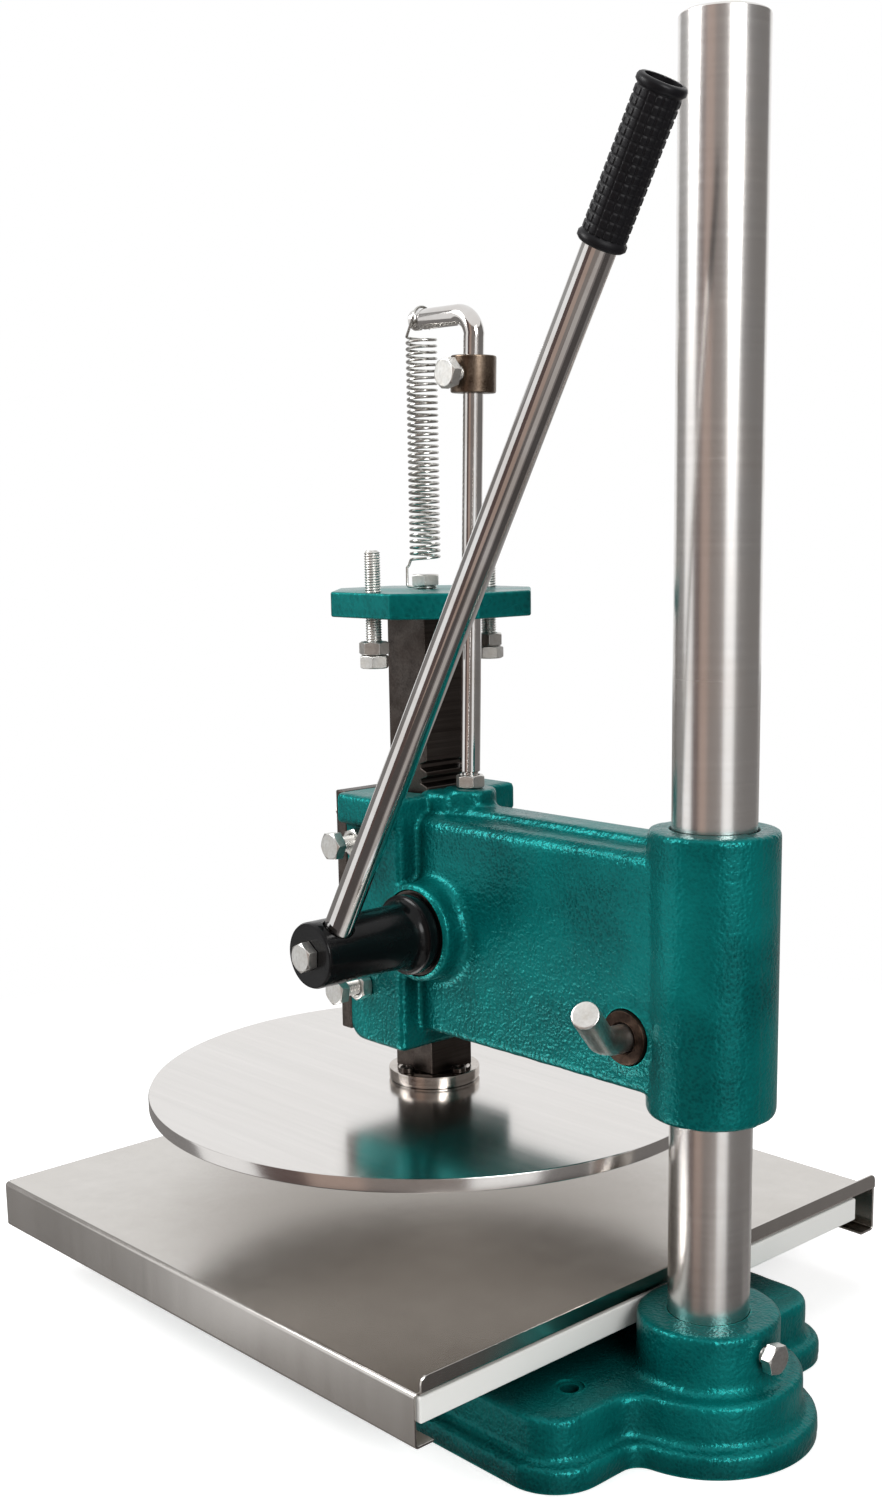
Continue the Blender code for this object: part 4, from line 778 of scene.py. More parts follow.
class Finishes:
    """Every material of the press, made once."""

    def __init__(self) -> None:
        """Build the shared effects, then the finishes."""
        effects = Effects()
        recipes = {
            "enamel": HammerEnamel(),
            "plate_enamel": HammerEnamel("plate_enamel", lump=6 * MM, pit=2.4 * MM, relief=0.5 * MM),
            "column": Metal("ground_column", (0.78, 0.765, 0.75), (0.87, 0.855, 0.84), (0.21, 0.28),
                            (6.0, 6.0, 2600.0), 0.003 * MM, 0.15, smear=0.3, smear_size=40 * MM,
                            stain=(0.70, 0.62, 0.56), edge_share=0.2),
            # The tray's sheet gets a painted shadow under the pressing plate, through its reach.
            "sheet": Metal("satin_sheet", (0.60, 0.575, 0.545), (0.67, 0.645, 0.615), (0.17, 0.25),
                           (60.0, 4.0, 60.0), 0.0004 * MM, 0.05, smear=0.12, smear_size=120 * MM,
                           stain=(0.56, 0.51, 0.46), edge_share=0.15, reach=110 * MM),
            "disc": Metal("polished_plate", (0.70, 0.68, 0.66), (0.77, 0.745, 0.725), (0.14, 0.20),
                          (300.0, 6.0, 300.0), 0.0008 * MM, 0.1, smear=0.1, smear_size=80 * MM,
                          stain=(0.66, 0.61, 0.56), edge_share=0.1),
            "flange": Metal("turned_flange", (0.46, 0.42, 0.385), (0.66, 0.62, 0.58), (0.12, 0.25),
                            (500.0, 500.0, 4000.0), 0.01 * MM, 0.3, stain=(0.40, 0.32, 0.26)),
            "zinc": Metal("zinc_plate", (0.62, 0.62, 0.60), (0.84, 0.84, 0.82), (0.26, 0.42),
                          (700.0, 700.0, 700.0), 0.03 * MM, 0.3, stain=(0.42, 0.36, 0.28),
                          smear=0.35, smear_size=6 * MM),
            "ram": Metal("oiled_steel", (0.040, 0.034, 0.031), (0.11, 0.095, 0.086), (0.26, 0.5),
                         (900.0, 900.0, 14.0), 0.02 * MM, 0.4, edge=(0.42, 0.38, 0.34), edge_share=0.5,
                         stain=(0.05, 0.035, 0.028), smear=0.5),
            "plate_steel": Metal("plate_steel", (0.05, 0.042, 0.038), (0.12, 0.10, 0.09), (0.3, 0.5),
                                 (40.0, 900.0, 900.0), 0.02 * MM, 0.4, edge=(0.35, 0.31, 0.28),
                                 edge_share=0.45),
            "chrome": Metal("chrome", (0.66, 0.65, 0.64), (0.78, 0.77, 0.76), (0.04, 0.12),
                            (60.0, 60.0, 60.0), 0.004 * MM, 0.15, stain=(0.50, 0.43, 0.38), smear=0.35,
                            edge_share=0.1),
            "bronze": Metal("bronzed_steel", (0.11, 0.078, 0.055), (0.26, 0.20, 0.15), (0.25, 0.42),
                            (900.0, 900.0, 900.0), 0.02 * MM, 0.35, edge=(0.6, 0.52, 0.44),
                            edge_share=0.5, stain=(0.05, 0.03, 0.02), smear=0.4, smear_size=5 * MM),
            "wire": Metal("spring_wire", (0.46, 0.455, 0.43), (0.68, 0.67, 0.64), (0.18, 0.3),
                          (500.0, 500.0, 500.0), 0.01 * MM, 0.2, edge_share=0.0),
            "hub": Moulding("gloss_black", (0.0028, 0.0028, 0.0032), (0.05, 0.048, 0.046), (0.16, 0.32),
                            0.05 * MM, 2.2 * MM, 0.08, 0.30, specular=0.16),
            "grip": Moulding("grip_rubber", (0.0045, 0.0042, 0.0055), (0.035, 0.034, 0.036), (0.36, 0.5),
                             0.02 * MM, 0.6 * MM, 0.0, 0.35, specular=0.2),
            "rusty": Metal("rusty_steel", (0.022, 0.014, 0.011), (0.085, 0.055, 0.040), (0.35, 0.55),
                           (700.0, 700.0, 700.0), 0.06 * MM, 0.5, edge=(0.30, 0.20, 0.14),
                           edge_share=0.35, stain=(0.012, 0.008, 0.007), smear=0.6, smear_size=4 * MM),
            "board": Moulding("cutting_board", (0.80, 0.80, 0.775), (0.70, 0.69, 0.65), (0.38, 0.55),
                              0.02 * MM, 0.9 * MM, 0.0, 0.2, 0.15),
        }
        self.made = {key: recipe.build(effects) for key, recipe in recipes.items()}

    def __getitem__(self, key: str) -> bpy.types.Material:
        """The material of that name."""
        return self.made[key]


# ---------------------------------------------------------------- pieces

@dataclass
class Assembly:
    """What every sub-assembly shares: its finishes and how a piece is placed."""

    finishes: Finishes

    def place(self, piece: bpy.types.Object, finish: str, slot: Slot, body: Body, *nodes: str,
              angle: float = 35.0) -> bpy.types.Object:
        """Dress a piece, let it ride on its body and stand for its CAD nodes.

        Args:
            piece: the finished mesh, in place.
            finish: the material's key.
            slot: the record's material slot.
            body: the CAD body it moves with.
            nodes: the CAD nodes it stands for.
            angle: edges sharper than this many degrees stay sharp.

        Returns:
            The same piece.
        """
        smooth_faces(piece, angle)
        piece.data.materials.clear()
        piece.data.materials.append(self.finishes[finish])
        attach(piece, body.value)
        if nodes:
            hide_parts(*nodes)
            self.compare(piece, nodes)
        LOG.info("%s rides on %s, %d faces", piece.name, body.value, len(piece.data.polygons))
        return piece

    @staticmethod
    def compare(piece: bpy.types.Object, nodes: Sequence[str]) -> None:
        """Log how far a piece's box is from the box of the nodes it stands for."""
        bpy.context.view_layer.update()
        corners = [piece.matrix_world @ vertex.co for vertex in piece.data.vertices]
        boxes = [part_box(node) for node in nodes]
        for axis in range(3):
            low = min(corner[axis] for corner in corners) - min(box[0][axis] for box in boxes)
            high = max(corner[axis] for corner in corners) - max(box[1][axis] for box in boxes)
            if max(abs(low), abs(high)) > MM:
                LOG.warning("%s differs along %s by %.1f and %.1f mm", piece.name, "XYZ"[axis],
                            low / MM, high / MM)

    def redress(self, node: str, finish: str) -> None:
        """Give a CAD node that stays in view its finish."""
        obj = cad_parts[node]
        obj.data.materials.clear()
        obj.data.materials.append(self.finishes[finish])
        LOG.info("%s stays, with the finish %s", node, finish)


@dataclass(frozen=True)
class Fasteners:
    """M8 hexagon heads, nuts and threads."""

    radius: float = 4 * MM
    flats: float = 13 * MM
    head: float = 5.3 * MM
    nut: float = 6.4 * MM
    pitch: float = 1.25 * MM
    thread_depth: float = 0.61 * MM
    bore_gap: float = 0.4 * MM

    def hexagon(self, name: str, low: float, high: float, both_ends: bool) -> bpy.types.Object:
        """A hexagon with chamfered corners.

        Args:
            name: the object's name.
            low: its lower face.
            high: its upper face.
            both_ends: whether the lower end is chamfered too.

        Returns:
            The hexagon, round the Z axis.
        """
        corner = self.flats / 2 / math.cos(math.pi / 6)
        points = [(corner * math.cos(math.pi / 6 + math.pi / 3 * i),
                   corner * math.sin(math.pi / 6 + math.pi / 3 * i)) for i in range(6)]
        body = prism(name, points, low, high)
        face = 0.475 * self.flats
        drop = (corner + MM - face) * math.tan(math.radians(30))
        wide = corner + MM
        foot = [(wide, low + drop), (face, low)] if both_ends else [(wide, low - MM)]
        envelope = lathe("envelope", [(face, high), (wide, high - drop)] + foot, 48)
        return bevel(combine(body, "INTERSECT", [envelope]), 0.18 * MM, 2, 25)

    def thread(self, name: str, low: float, high: float, sides: int = 28) -> bpy.types.Object:
        """A threaded bar with chamfered ends.

        Args:
            name: the object's name.
            low: its lower end.
            high: its upper end.
            sides: facets round the bar.

        Returns:
            The bar, round the Z axis.
        """
        steps = max(8, int((high - low) / self.pitch * 6))
        bm = bmesh.new()
        loops = []
        for row in range(steps + 1):
            height = low + (high - low) * row / steps
            taper = min(1.0, 0.72 + min(height - low, high - height) / self.pitch * 0.4)
            ring = []
            for side in range(sides):
                turn = side / sides
                wave = abs(((height / self.pitch - turn) % 1.0) * 2 - 1)
                radius = (self.radius - self.thread_depth * wave) * taper
                a = 2 * math.pi * turn
                ring.append(bm.verts.new((radius * math.cos(a), radius * math.sin(a), height)))
            loops.append(ring)
        skin_rings(bm, loops)
        return mesh_object(name, bm)

    def screw(self, name: str, length: float, threaded: bool) -> bpy.types.Object:
        """A hexagon screw: its seat at 0, its head above and its shank below.

        Args:
            name: the object's name.
            length: the shank's length.
            threaded: whether the shank's thread is cut in full.

        Returns:
            The screw.
        """
        head = settle(self.hexagon(name, 0.0, self.head, False))
        if threaded:
            shank = self.thread("shank", -length, 0.5 * MM)
        else:
            shank = lathe("shank", [(self.radius, 0.5 * MM), (self.radius, -length + 0.6 * MM),
                                    (self.radius - 0.6 * MM, -length)], 32)
        return combine(head, "UNION", [shank])

    def hex_nut(self, name: str) -> bpy.types.Object:
        """A nut that stands on 0, with a countersunk bore."""
        body = settle(self.hexagon(name, 0.0, self.nut, True))
        bore = self.radius + self.bore_gap
        wide = bore + 0.7 * MM
        cutter = lathe("bore", [(wide + MM, self.nut + MM), (bore, self.nut - 0.7 * MM), (bore, 0.7 * MM),
                                (wide + MM, -MM)], 40)
        return combine(body, "DIFFERENCE", [cutter])


M8 = Fasteners()


@dataclass
class BasePedestal(Assembly):
    """The lobed base casting with the column's boss and the board's pad."""

    throat: float = 188 * MM
    half_width: float = 103.5 * MM
    front: float = 130 * MM
    top: float = 31 * MM
    lower_tier: float = 11 * MM
    step: float = 3 * MM
    inset: float = 7 * MM
    tier_round: float = 3 * MM
    corner: float = 26 * MM
    lobe_back: float = 25 * MM
    column_lobe: float = 50.8 * MM
    fillet: float = 10 * MM
    boss: float = 33 * MM
    boss_top: float = 58 * MM
    bore: float = 19.3 * MM
    seat: float = 5 * MM
    pad: Point = (70 * MM, 100 * MM, 135 * MM)
    pad_top: float = 43 * MM
    pocket_top: float = 20 * MM
    bolt_holes: tuple = ((63 * MM, 159 * MM), (-63 * MM, 159 * MM), (80.5 * MM, -107 * MM),
                         (-80.5 * MM, -107 * MM))
    screw_height: float = 46.4 * MM

    def outline(self, inset: float) -> Profile:
        """The base's outline, moved inwards.

        Args:
            inset: how far it is moved.

        Returns:
            Its points, from the right front corner round to the left one.
        """
        front_x = self.half_width - self.corner
        lobe_y = self.throat - self.lobe_back
        fillet_y = lobe_y + self.corner + self.fillet
        fillet_x = math.sqrt((self.column_lobe + self.fillet) ** 2 - (fillet_y - self.throat) ** 2)
        meet = math.degrees(math.atan2(fillet_y - self.throat, fillet_x))
        half = arc((front_x, -self.front + self.corner), self.corner - inset, -90, 0, 16)
        half += arc((front_x, lobe_y), self.corner - inset, 0, 90, 18)
        half += arc((fillet_x, fillet_y), self.fillet + inset, -90, meet - 180, 12)
        half += arc((0, self.throat), self.column_lobe - inset, meet, 90, 22)[1:]
        return half + [(-x, y) for x, y in reversed(half[:-1])]

    def skirt(self) -> bpy.types.Object:
        """The two-tier outside, lofted through insets of the outline."""
        levels = [(-6 * MM, 0.0)]
        turns = [math.radians(a) for a in range(0, 91, 15)]
        for a in turns:
            levels.append((self.lower_tier - self.tier_round * (1 - math.sin(a)),
                           self.tier_round * (1 - math.cos(a))))
        levels.append((self.lower_tier + self.step * 0.2, self.inset - self.step * 0.5))
        levels.append((self.lower_tier + self.step, self.inset))
        for a in turns:
            levels.append((self.top - self.tier_round * (1 - math.sin(a)),
                           self.inset + self.tier_round * (1 - math.cos(a))))
        bm = bmesh.new()
        loops = [[bm.verts.new((x, y, height)) for x, y in self.outline(inset)] for height, inset in levels]
        skin_rings(bm, loops)
        return mesh_object("base_pedestal", bm)

    def build(self) -> None:
        """Cast the base, machine it and add its set screw."""
        base = self.skirt()
        foot = [(self.boss + 5 * MM * (1 - math.sin(a)), self.top + 5 * MM * (1 - math.cos(a)))
                for a in (math.radians(d) for d in (90, 70, 50, 30, 10, 0))]
        boss = lathe("boss", [(self.boss - 1.5 * MM, self.boss_top), (self.boss, self.boss_top - 1.5 * MM)]
                     + foot + [(self.boss + 5 * MM, self.top - 5 * MM)])
        boss.matrix_world = Matrix.Translation((0, self.throat, 0))
        half, front, rear = self.pad
        pad = block("pad", (-half, -front, self.top - 5 * MM), (half, rear, self.pad_top), 3 * MM)
        combine(base, "UNION", [boss, pad])
        Foundry(soften=4).pour(base)
        under = block("under", (-0.3, -0.3, -0.1), (0.3, 0.4, 0.0))
        combine(base, "DIFFERENCE", [under, self.cutters()])
        self.place(base, "enamel", Slot.ENAMEL, Body.STAND, "base_casting", angle=60)
        screw = M8.screw("column_set_screw_hex", 14 * MM, True)
        head_seat = self.throat + self.boss + 3 * MM
        stand(screw, (0, head_seat, self.screw_height), Axis.Y, 0.3)
        self.place(screw, "zinc", Slot.ZINC, Body.STAND, "column_set_screw")
        for index in range(1, 5):
            self.redress(f"board_screw_{index}", "zinc")

    def cutters(self) -> bpy.types.Object:
        """Everything machined or cored out of the base, joined as one cutter."""
        bore = lathe("bore", [(self.bore, self.boss_top + 5 * MM), (self.bore, self.seat)])
        bore.matrix_world = Matrix.Translation((0, self.throat, 0))
        tools = []
        for side in (-1, 1):
            x = sorted((side * 12 * MM, side * 84.5 * MM))
            tools.append(block("pocket", (x[0], -111 * MM, -5 * MM), (x[1], 112 * MM, self.pocket_top),
                               2 * MM))
        for x, y in self.bolt_holes:
            hole = lathe("hole", [(7 * MM, self.top + 5 * MM), (7 * MM, self.top - 0.8 * MM),
                                  (4.5 * MM, self.top - 0.8 * MM), (4.5 * MM, -5 * MM)], 32)
            hole.matrix_world = Matrix.Translation((x, y, 0))
            tools.append(hole)
        screw = lathe("screw_hole", [(4.4 * MM, 20 * MM), (4.4 * MM, 0)], 32)
        stand(screw, (0, self.throat + self.bore - 2 * MM, self.screw_height), Axis.Y)
        tools.append(screw)
        for x in (-50 * MM, 50 * MM):
            for y in (-80 * MM, 80 * MM):
                hole = lathe("board_hole", [(3.3 * MM, self.pad_top + 5 * MM), (3.3 * MM, 29.5 * MM)], 24)
                hole.matrix_world = Matrix.Translation((x, y, 0))
                tools.append(hole)
        return combine(bore, "UNION", tools)


@dataclass
class Column(Assembly):
    """The ground column."""

    throat: float = 188 * MM
    radius: float = 19 * MM
    chamfer: float = 1.2 * MM
    foot: float = 5.3 * MM
    top: float = 618.5 * MM

    def build(self) -> None:
        """Turn the column with a chamfered, slightly dished top."""
        r, c = self.radius, self.chamfer
        column = lathe("column_bar", [(r * 0.55, self.top - 0.25 * MM), (r - c - 0.5 * MM, self.top),
                                      (r - c, self.top - 0.05 * MM), (r - 0.35 * c, self.top - 0.4 * c),
                                      (r, self.top - c), (r, self.foot + c), (r - c, self.foot)], 160)
        stand(column, (0, self.throat, 0))
        self.place(column, "column", Slot.STAINLESS, Body.COLUMN, "column")


@dataclass
class TrayAndBoard(Assembly):
    """The folded stainless tray and the white board under it."""

    sheet: float = 1.2 * MM
    width: float = 336.8 * MM
    shift: float = -17.6 * MM
    top: float = 57 * MM
    rear: float = 154.4 * MM
    depth: float = 350.5 * MM
    skirt: float = 25.9 * MM
    turn_in: float = 11 * MM
    fold: float = 2.2 * MM
    lip: float = 7.7 * MM

    def section(self) -> Profile:
        """The sheet's section across the tray, round folds included."""
        fold, inner = self.fold, self.fold - self.sheet
        low, high, half = self.top - self.skirt, self.top, self.width / 2
        tip = half - self.turn_in
        right = [(tip, low)] + arc((half - fold, low + fold), fold, -90, 0, 6)
        right += arc((half - fold, high - fold), fold, 0, 90, 6)
        inside = [(tip, low + self.sheet)] + arc((half - fold, low + fold), inner, -90, 0, 6)
        inside += arc((half - fold, high - fold), inner, 0, 90, 6)
        outer = right + [(-x, z) for x, z in reversed(right)]
        return outer + [(-x, z) for x, z in inside] + list(reversed(inside))

    def folded_edge(self, rise: float, height: float) -> Profile:
        """A sheet edge seen from its end: a flat leg, a round fold and a standing leg.

        Args:
            rise: +1 for an edge folded up, -1 for one folded down.
            height: how far the standing leg reaches from the tray's top face.

        Returns:
            (distance from the edge, height) points.
        """
        s, fold = self.sheet, self.fold
        flat = 6 * MM
        if rise > 0:
            outer = [(flat, -s)] + [(fold - fold * math.sin(a), fold - s - fold * math.cos(a))
                                    for a in (math.radians(d) for d in range(0, 91, 15))]
            inner = [(fold - (fold - s) * math.sin(a), fold - s - (fold - s) * math.cos(a))
                     for a in (math.radians(d) for d in range(90, -1, -15))]
            return outer + [(0, height), (s, height)] + inner + [(flat, 0)]
        outer = [(flat, 0)] + [(fold - fold * math.sin(a), -fold + fold * math.cos(a))
                               for a in (math.radians(d) for d in range(0, 91, 15))]
        inner = [(fold - (fold - s) * math.sin(a), -fold + (fold - s) * math.cos(a))
                 for a in (math.radians(d) for d in range(90, -1, -15))]
        return outer + [(0, -height), (s, -height)] + inner + [(flat, -s)]

    def build(self) -> None:
        """Fold the tray, round the lip's corners and lay the board under it."""
        front = self.rear - self.depth
        tray = prism("tray_sheet", self.section(), 0, self.depth - 2 * self.fold)
        stand(tray, (self.shift, self.rear - self.fold, 0), Axis.ELEVATION)
        edges = []
        half = self.width / 2
        lip_half = half - 2.4 * MM
        for name, rise, height, edge, span in (("lip", 1, self.lip, self.rear, lip_half),
                                               ("apron", -1, self.skirt, front, half - 3.4 * MM)):
            outline = [(edge - d if rise > 0 else edge + d, self.top + z)
                       for d, z in self.folded_edge(rise, height)]
            strip = prism(name, outline, self.shift - span, self.shift + span)
            stand(strip, (0, 0, 0), Axis.SECTION)
            edges.append(strip)
        self.round_lip(edges[0], lip_half)
        combine(tray, "UNION", edges)
        bevel(tray, 0.15 * MM, 1, 50)
        settle(tray)
        self.place(tray, "sheet", Slot.STAINLESS, Body.TRAY, "tray")
        low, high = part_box("work_board")
        board = block("board_slab", low, high, 0.9 * MM)
        for x in (-50 * MM, 50 * MM):
            for y in (-80 * MM, 80 * MM):
                hole = lathe("sink", [(5.8 * MM, high.z + MM), (5.8 * MM, high.z - 3.3 * MM),
                                      (3.3 * MM, high.z - 3.3 * MM), (3.3 * MM, low.z - MM)], 32)
                stand(hole, (x, y, 0))
                combine(board, "DIFFERENCE", [hole])
        self.place(board, "board", Slot.BOARD, Body.STAND, "work_board")

    def round_lip(self, strip: bpy.types.Object, half: float) -> None:
        """Cut the lip's two upper corners round.

        Args:
            strip: the lip's strip.
            half: half its length.
        """
        radius = 4 * MM
        top = self.top + self.lip
        tools = []
        for side in (-1, 1):
            x = self.shift + side * half
            corner = [(x + side * MM, top + MM), (x + side * MM, top - radius)]
            corner += [(x - side * (radius - radius * math.cos(a)), top - radius + radius * math.sin(a))
                       for a in (math.radians(d) for d in range(0, 91, 15))]
            corner += [(x - side * radius, top + MM)]
            cutter = prism("corner", corner if side > 0 else list(reversed(corner)), -5 * MM, 5 * MM)
            stand(cutter, (0, self.rear, 0), Axis.ELEVATION)
            tools.append(cutter)
        combine(strip, "DIFFERENCE", tools)


@dataclass
class Arm(Assembly):
    """The arm casting, its ram guides and its clamp."""

    throat: float = 188 * MM
    bottom: float = 153.4 * MM
    head_top: float = 283 * MM
    head_half: float = 38.5 * MM
    head_rear: float = 19.5 * MM
    head_front: float = -20.4 * MM
    flange_half: float = 44 * MM
    flange_height: float = 15 * MM
    toe: float = 10 * MM
    lug: tuple[float, float, float, float] = (17 * MM, 284.6 * MM, 13 * MM, 286.2 * MM)
    web: Point = (26 * MM, 163.5 * MM, 273.5 * MM)
    web_edge: float = 6.5 * MM
    rail: tuple[float, float] = (10 * MM, 277.5 * MM)
    sleeve: float = 29.4 * MM
    sleeve_top: float = 284 * MM
    bore: float = 19.3 * MM
    pinion: tuple[float, float] = (30.875 * MM, 218 * MM)
    pinion_bore: float = 21.6 * MM
    pinion_boss: float = 24.5 * MM
    boss_end: float = 40 * MM
    channel: tuple[float, float] = (14.3 * MM, 18.3 * MM)
    clamp: tuple[float, float] = (159.8 * MM, 188.5 * MM)
    clamp_radius: float = 13 * MM
    elbow_x: float = 41 * MM
    crank: Point = (29 * MM, 15.7 * MM, 22.5 * MM)
    gib_y: float = -9.5 * MM
    gib_heights: tuple[float, float] = (184 * MM, 259 * MM)
    bolt_x: float = 28 * MM
    bolt_heights: tuple[float, float] = (172 * MM, 271.5 * MM)
    rod_y: float = 31 * MM

    def rough(self) -> bpy.types.Object:
        """The joined shape before casting."""
        front = self.head_front - 2 * MM
        outline = arc((front + self.toe, self.bottom + self.toe), self.toe, 180, 270, 8)
        outline += [(self.head_rear, self.bottom), (self.head_rear, self.head_top - self.flange_height / 2),
                    (front, self.head_top - self.flange_height / 2)]
        arm = prism("arm_cast", outline, -self.head_half, self.head_half)
        settle(bevel(stand(arm, (0, 0, 0), Axis.SECTION), 2.6 * MM, 3, 50))
        inner = self.head_rear - 8 * MM
        web_half, web_low, web_high = self.web
        lug_half, block_top, lug_radius, lug_top = self.lug
        flange = block("flange", (-self.flange_half, front - MM, self.head_top - self.flange_height),
                       (self.flange_half, self.head_rear - MM, self.head_top), 2.2 * MM)
        lug = block("lug", (-lug_half, inner, web_high - 8 * MM), (lug_half, self.rod_y, block_top), 2 * MM)
        lug_boss = lathe("lug_boss", [
            (lug_radius - 1.4 * MM, lug_top), (lug_radius - 0.4 * MM, lug_top - 0.4 * MM),
            (lug_radius, lug_top - 1.4 * MM), (lug_radius, web_high + 5 * MM),
            (lug_radius + 2 * MM, web_high - 8 * MM)], 64)
        stand(lug_boss, (0, self.rod_y, 0))
        edge, low_edge = self.web_edge, 3 * MM
        half = arc((web_half - low_edge, web_low + low_edge), low_edge, 270, 360, 4)
        half += arc((web_half - edge, web_high - edge), edge, 0, 90, 10)
        web = prism("web", half + [(-x, z) for x, z in reversed(half)], -self.throat, -inner)
        stand(web, (0, 0, 0), Axis.ELEVATION)
        rail = block("rail", (-self.rail[0], inner, web_high - 8 * MM),
                     (self.rail[0], self.throat, self.rail[1]), 2 * MM)
        fillets = [self.web_fillet(side) for side in (-1, 1)]
        sleeve = lathe("sleeve", [(self.sleeve - 2 * MM, self.sleeve_top),
                                  (self.sleeve - 0.6 * MM, self.sleeve_top - 0.6 * MM),
                                  (self.sleeve, self.sleeve_top - 2 * MM),
                                  (self.sleeve, self.bottom + 3 * MM),
                                  (self.sleeve - 0.9 * MM, self.bottom + 0.9 * MM),
                                  (self.sleeve - 3 * MM, self.bottom)])
        stand(sleeve, (0, self.throat, 0))
        r = self.pinion_boss
        boss = lathe("boss", [(r - 0.6 * MM, self.boss_end), (r, self.boss_end - 0.6 * MM),
                              (r, web_half + 5 * MM), (r + 1.2 * MM, web_half + 2 * MM),
                              (r + 4.5 * MM, web_half - MM), (r + 4.5 * MM, MM - web_half),
                              (r + 1.2 * MM, -web_half - 2 * MM), (r, -web_half - 5 * MM),
                              (r, MM - self.head_half), (r - MM, -self.head_half)])
        stand(boss, (0, *self.pinion), Axis.X)
        ring = lathe("clamp_ring", [(self.clamp_radius + 2.6 * MM, web_half + 0.7 * MM),
                                    (self.clamp_radius + 3.6 * MM, web_half - MM),
                                    (self.clamp_radius + 3.6 * MM, MM - web_half),
                                    (self.clamp_radius + 2.6 * MM, -web_half - 0.7 * MM)])
        stand(ring, (0, *self.clamp), Axis.X)
        return combine(arm, "UNION", [flange, lug, lug_boss, web, rail, sleeve, boss, ring, *fillets])

    def web_fillet(self, side: int) -> bpy.types.Object:
        """The hollow fillet between the web's face and the sleeve.

        Args:
            side: -1 or +1, the side of the web.

        Returns:
            A prism that fills the corner.
        """
        radius, face = 7 * MM, self.web[0]
        x = face + radius
        y = self.throat - math.sqrt((self.sleeve + radius) ** 2 - x ** 2)
        turn = math.degrees(math.atan2(self.throat - y, -x))
        curve = arc((x, y), radius, turn, 180, 8)
        outline = [(side * a, b) for a, b in curve + [(face - 6 * MM, y), (face - 6 * MM, self.throat)]]
        return prism("web_fillet", outline if side < 0 else list(reversed(outline)),
                     self.web[1] + 2 * MM, self.web[2] - 5 * MM)

    def cutters(self) -> bpy.types.Object:
        """Everything machined out of the arm, joined as one cutter."""
        high = self.lug[3] + 8 * MM
        face = block("face", (-80 * MM, self.head_front - 12 * MM, self.bottom - 8 * MM),
                     (80 * MM, self.head_front, high))
        tools = [block("channel", (-self.channel[0], self.head_front - 5 * MM, self.bottom - 4 * MM),
                       (self.channel[1], self.channel[0], high + MM))]
        bore = lathe("pinion_bore", [(self.pinion_bore + 0.3 * MM, self.boss_end + 3 * MM),
                                     (self.pinion_bore + 0.3 * MM, self.boss_end - 0.1 * MM),
                                     (self.pinion_bore, self.boss_end - 0.4 * MM),
                                     (self.pinion_bore, -self.channel[0])], 128)
        tools.append(stand(bore, (0, *self.pinion), Axis.X))
        end = lathe("end_bore", [(10.4 * MM, 0), (10.4 * MM, -self.head_half - 5 * MM)], 64)
        tools.append(stand(end, (-self.channel[0] + MM, *self.pinion), Axis.X))
        column = lathe("column_bore", [(self.bore + MM, self.sleeve_top + 5 * MM),
                                       (self.bore + MM, self.sleeve_top - 0.2 * MM),
                                       (self.bore, self.sleeve_top - 1.2 * MM),
                                       (self.bore, self.bottom - 5 * MM)], 128)
        tools.append(stand(column, (0, self.throat, 0)))
        clamp = lathe("clamp_bore", [(self.clamp_radius + 0.4 * MM, 40 * MM),
                                     (self.clamp_radius + 0.4 * MM, -40 * MM)], 64)
        tools.append(stand(clamp, (0, *self.clamp), Axis.X))
        for height in self.gib_heights:
            hole = lathe("gib_hole", [(4.4 * MM, 35 * MM), (4.4 * MM, 0)], 32)
            tools.append(stand(hole, (15 * MM, self.gib_y, height), Axis.X))
            for side in (-1, 1):
                bolt = lathe("bolt_hole", [(4.4 * MM, 18 * MM), (4.4 * MM, 0)], 32)
                where = self.bolt_heights[self.gib_heights.index(height)]
                tools.append(stand(bolt, (side * self.bolt_x, self.head_front + 15 * MM, where),
                                   Axis.MINUS_Y))
        rod = lathe("rod_hole", [(4.4 * MM, high), (4.4 * MM, self.lug[3] - 20 * MM)], 32)
        tools.append(stand(rod, (0, self.rod_y, 0)))
        return combine(face, "UNION", tools)

    def build(self) -> None:
        """Cast and machine the arm, then fit its guides and its clamp."""
        arm = self.rough()
        Foundry().pour(arm)
        combine(arm, "DIFFERENCE", [self.cutters()])
        self.place(arm, "enamel", Slot.ENAMEL, Body.ARM, "arm_casting", angle=60)
        self.build_guides()
        self.build_clamp()

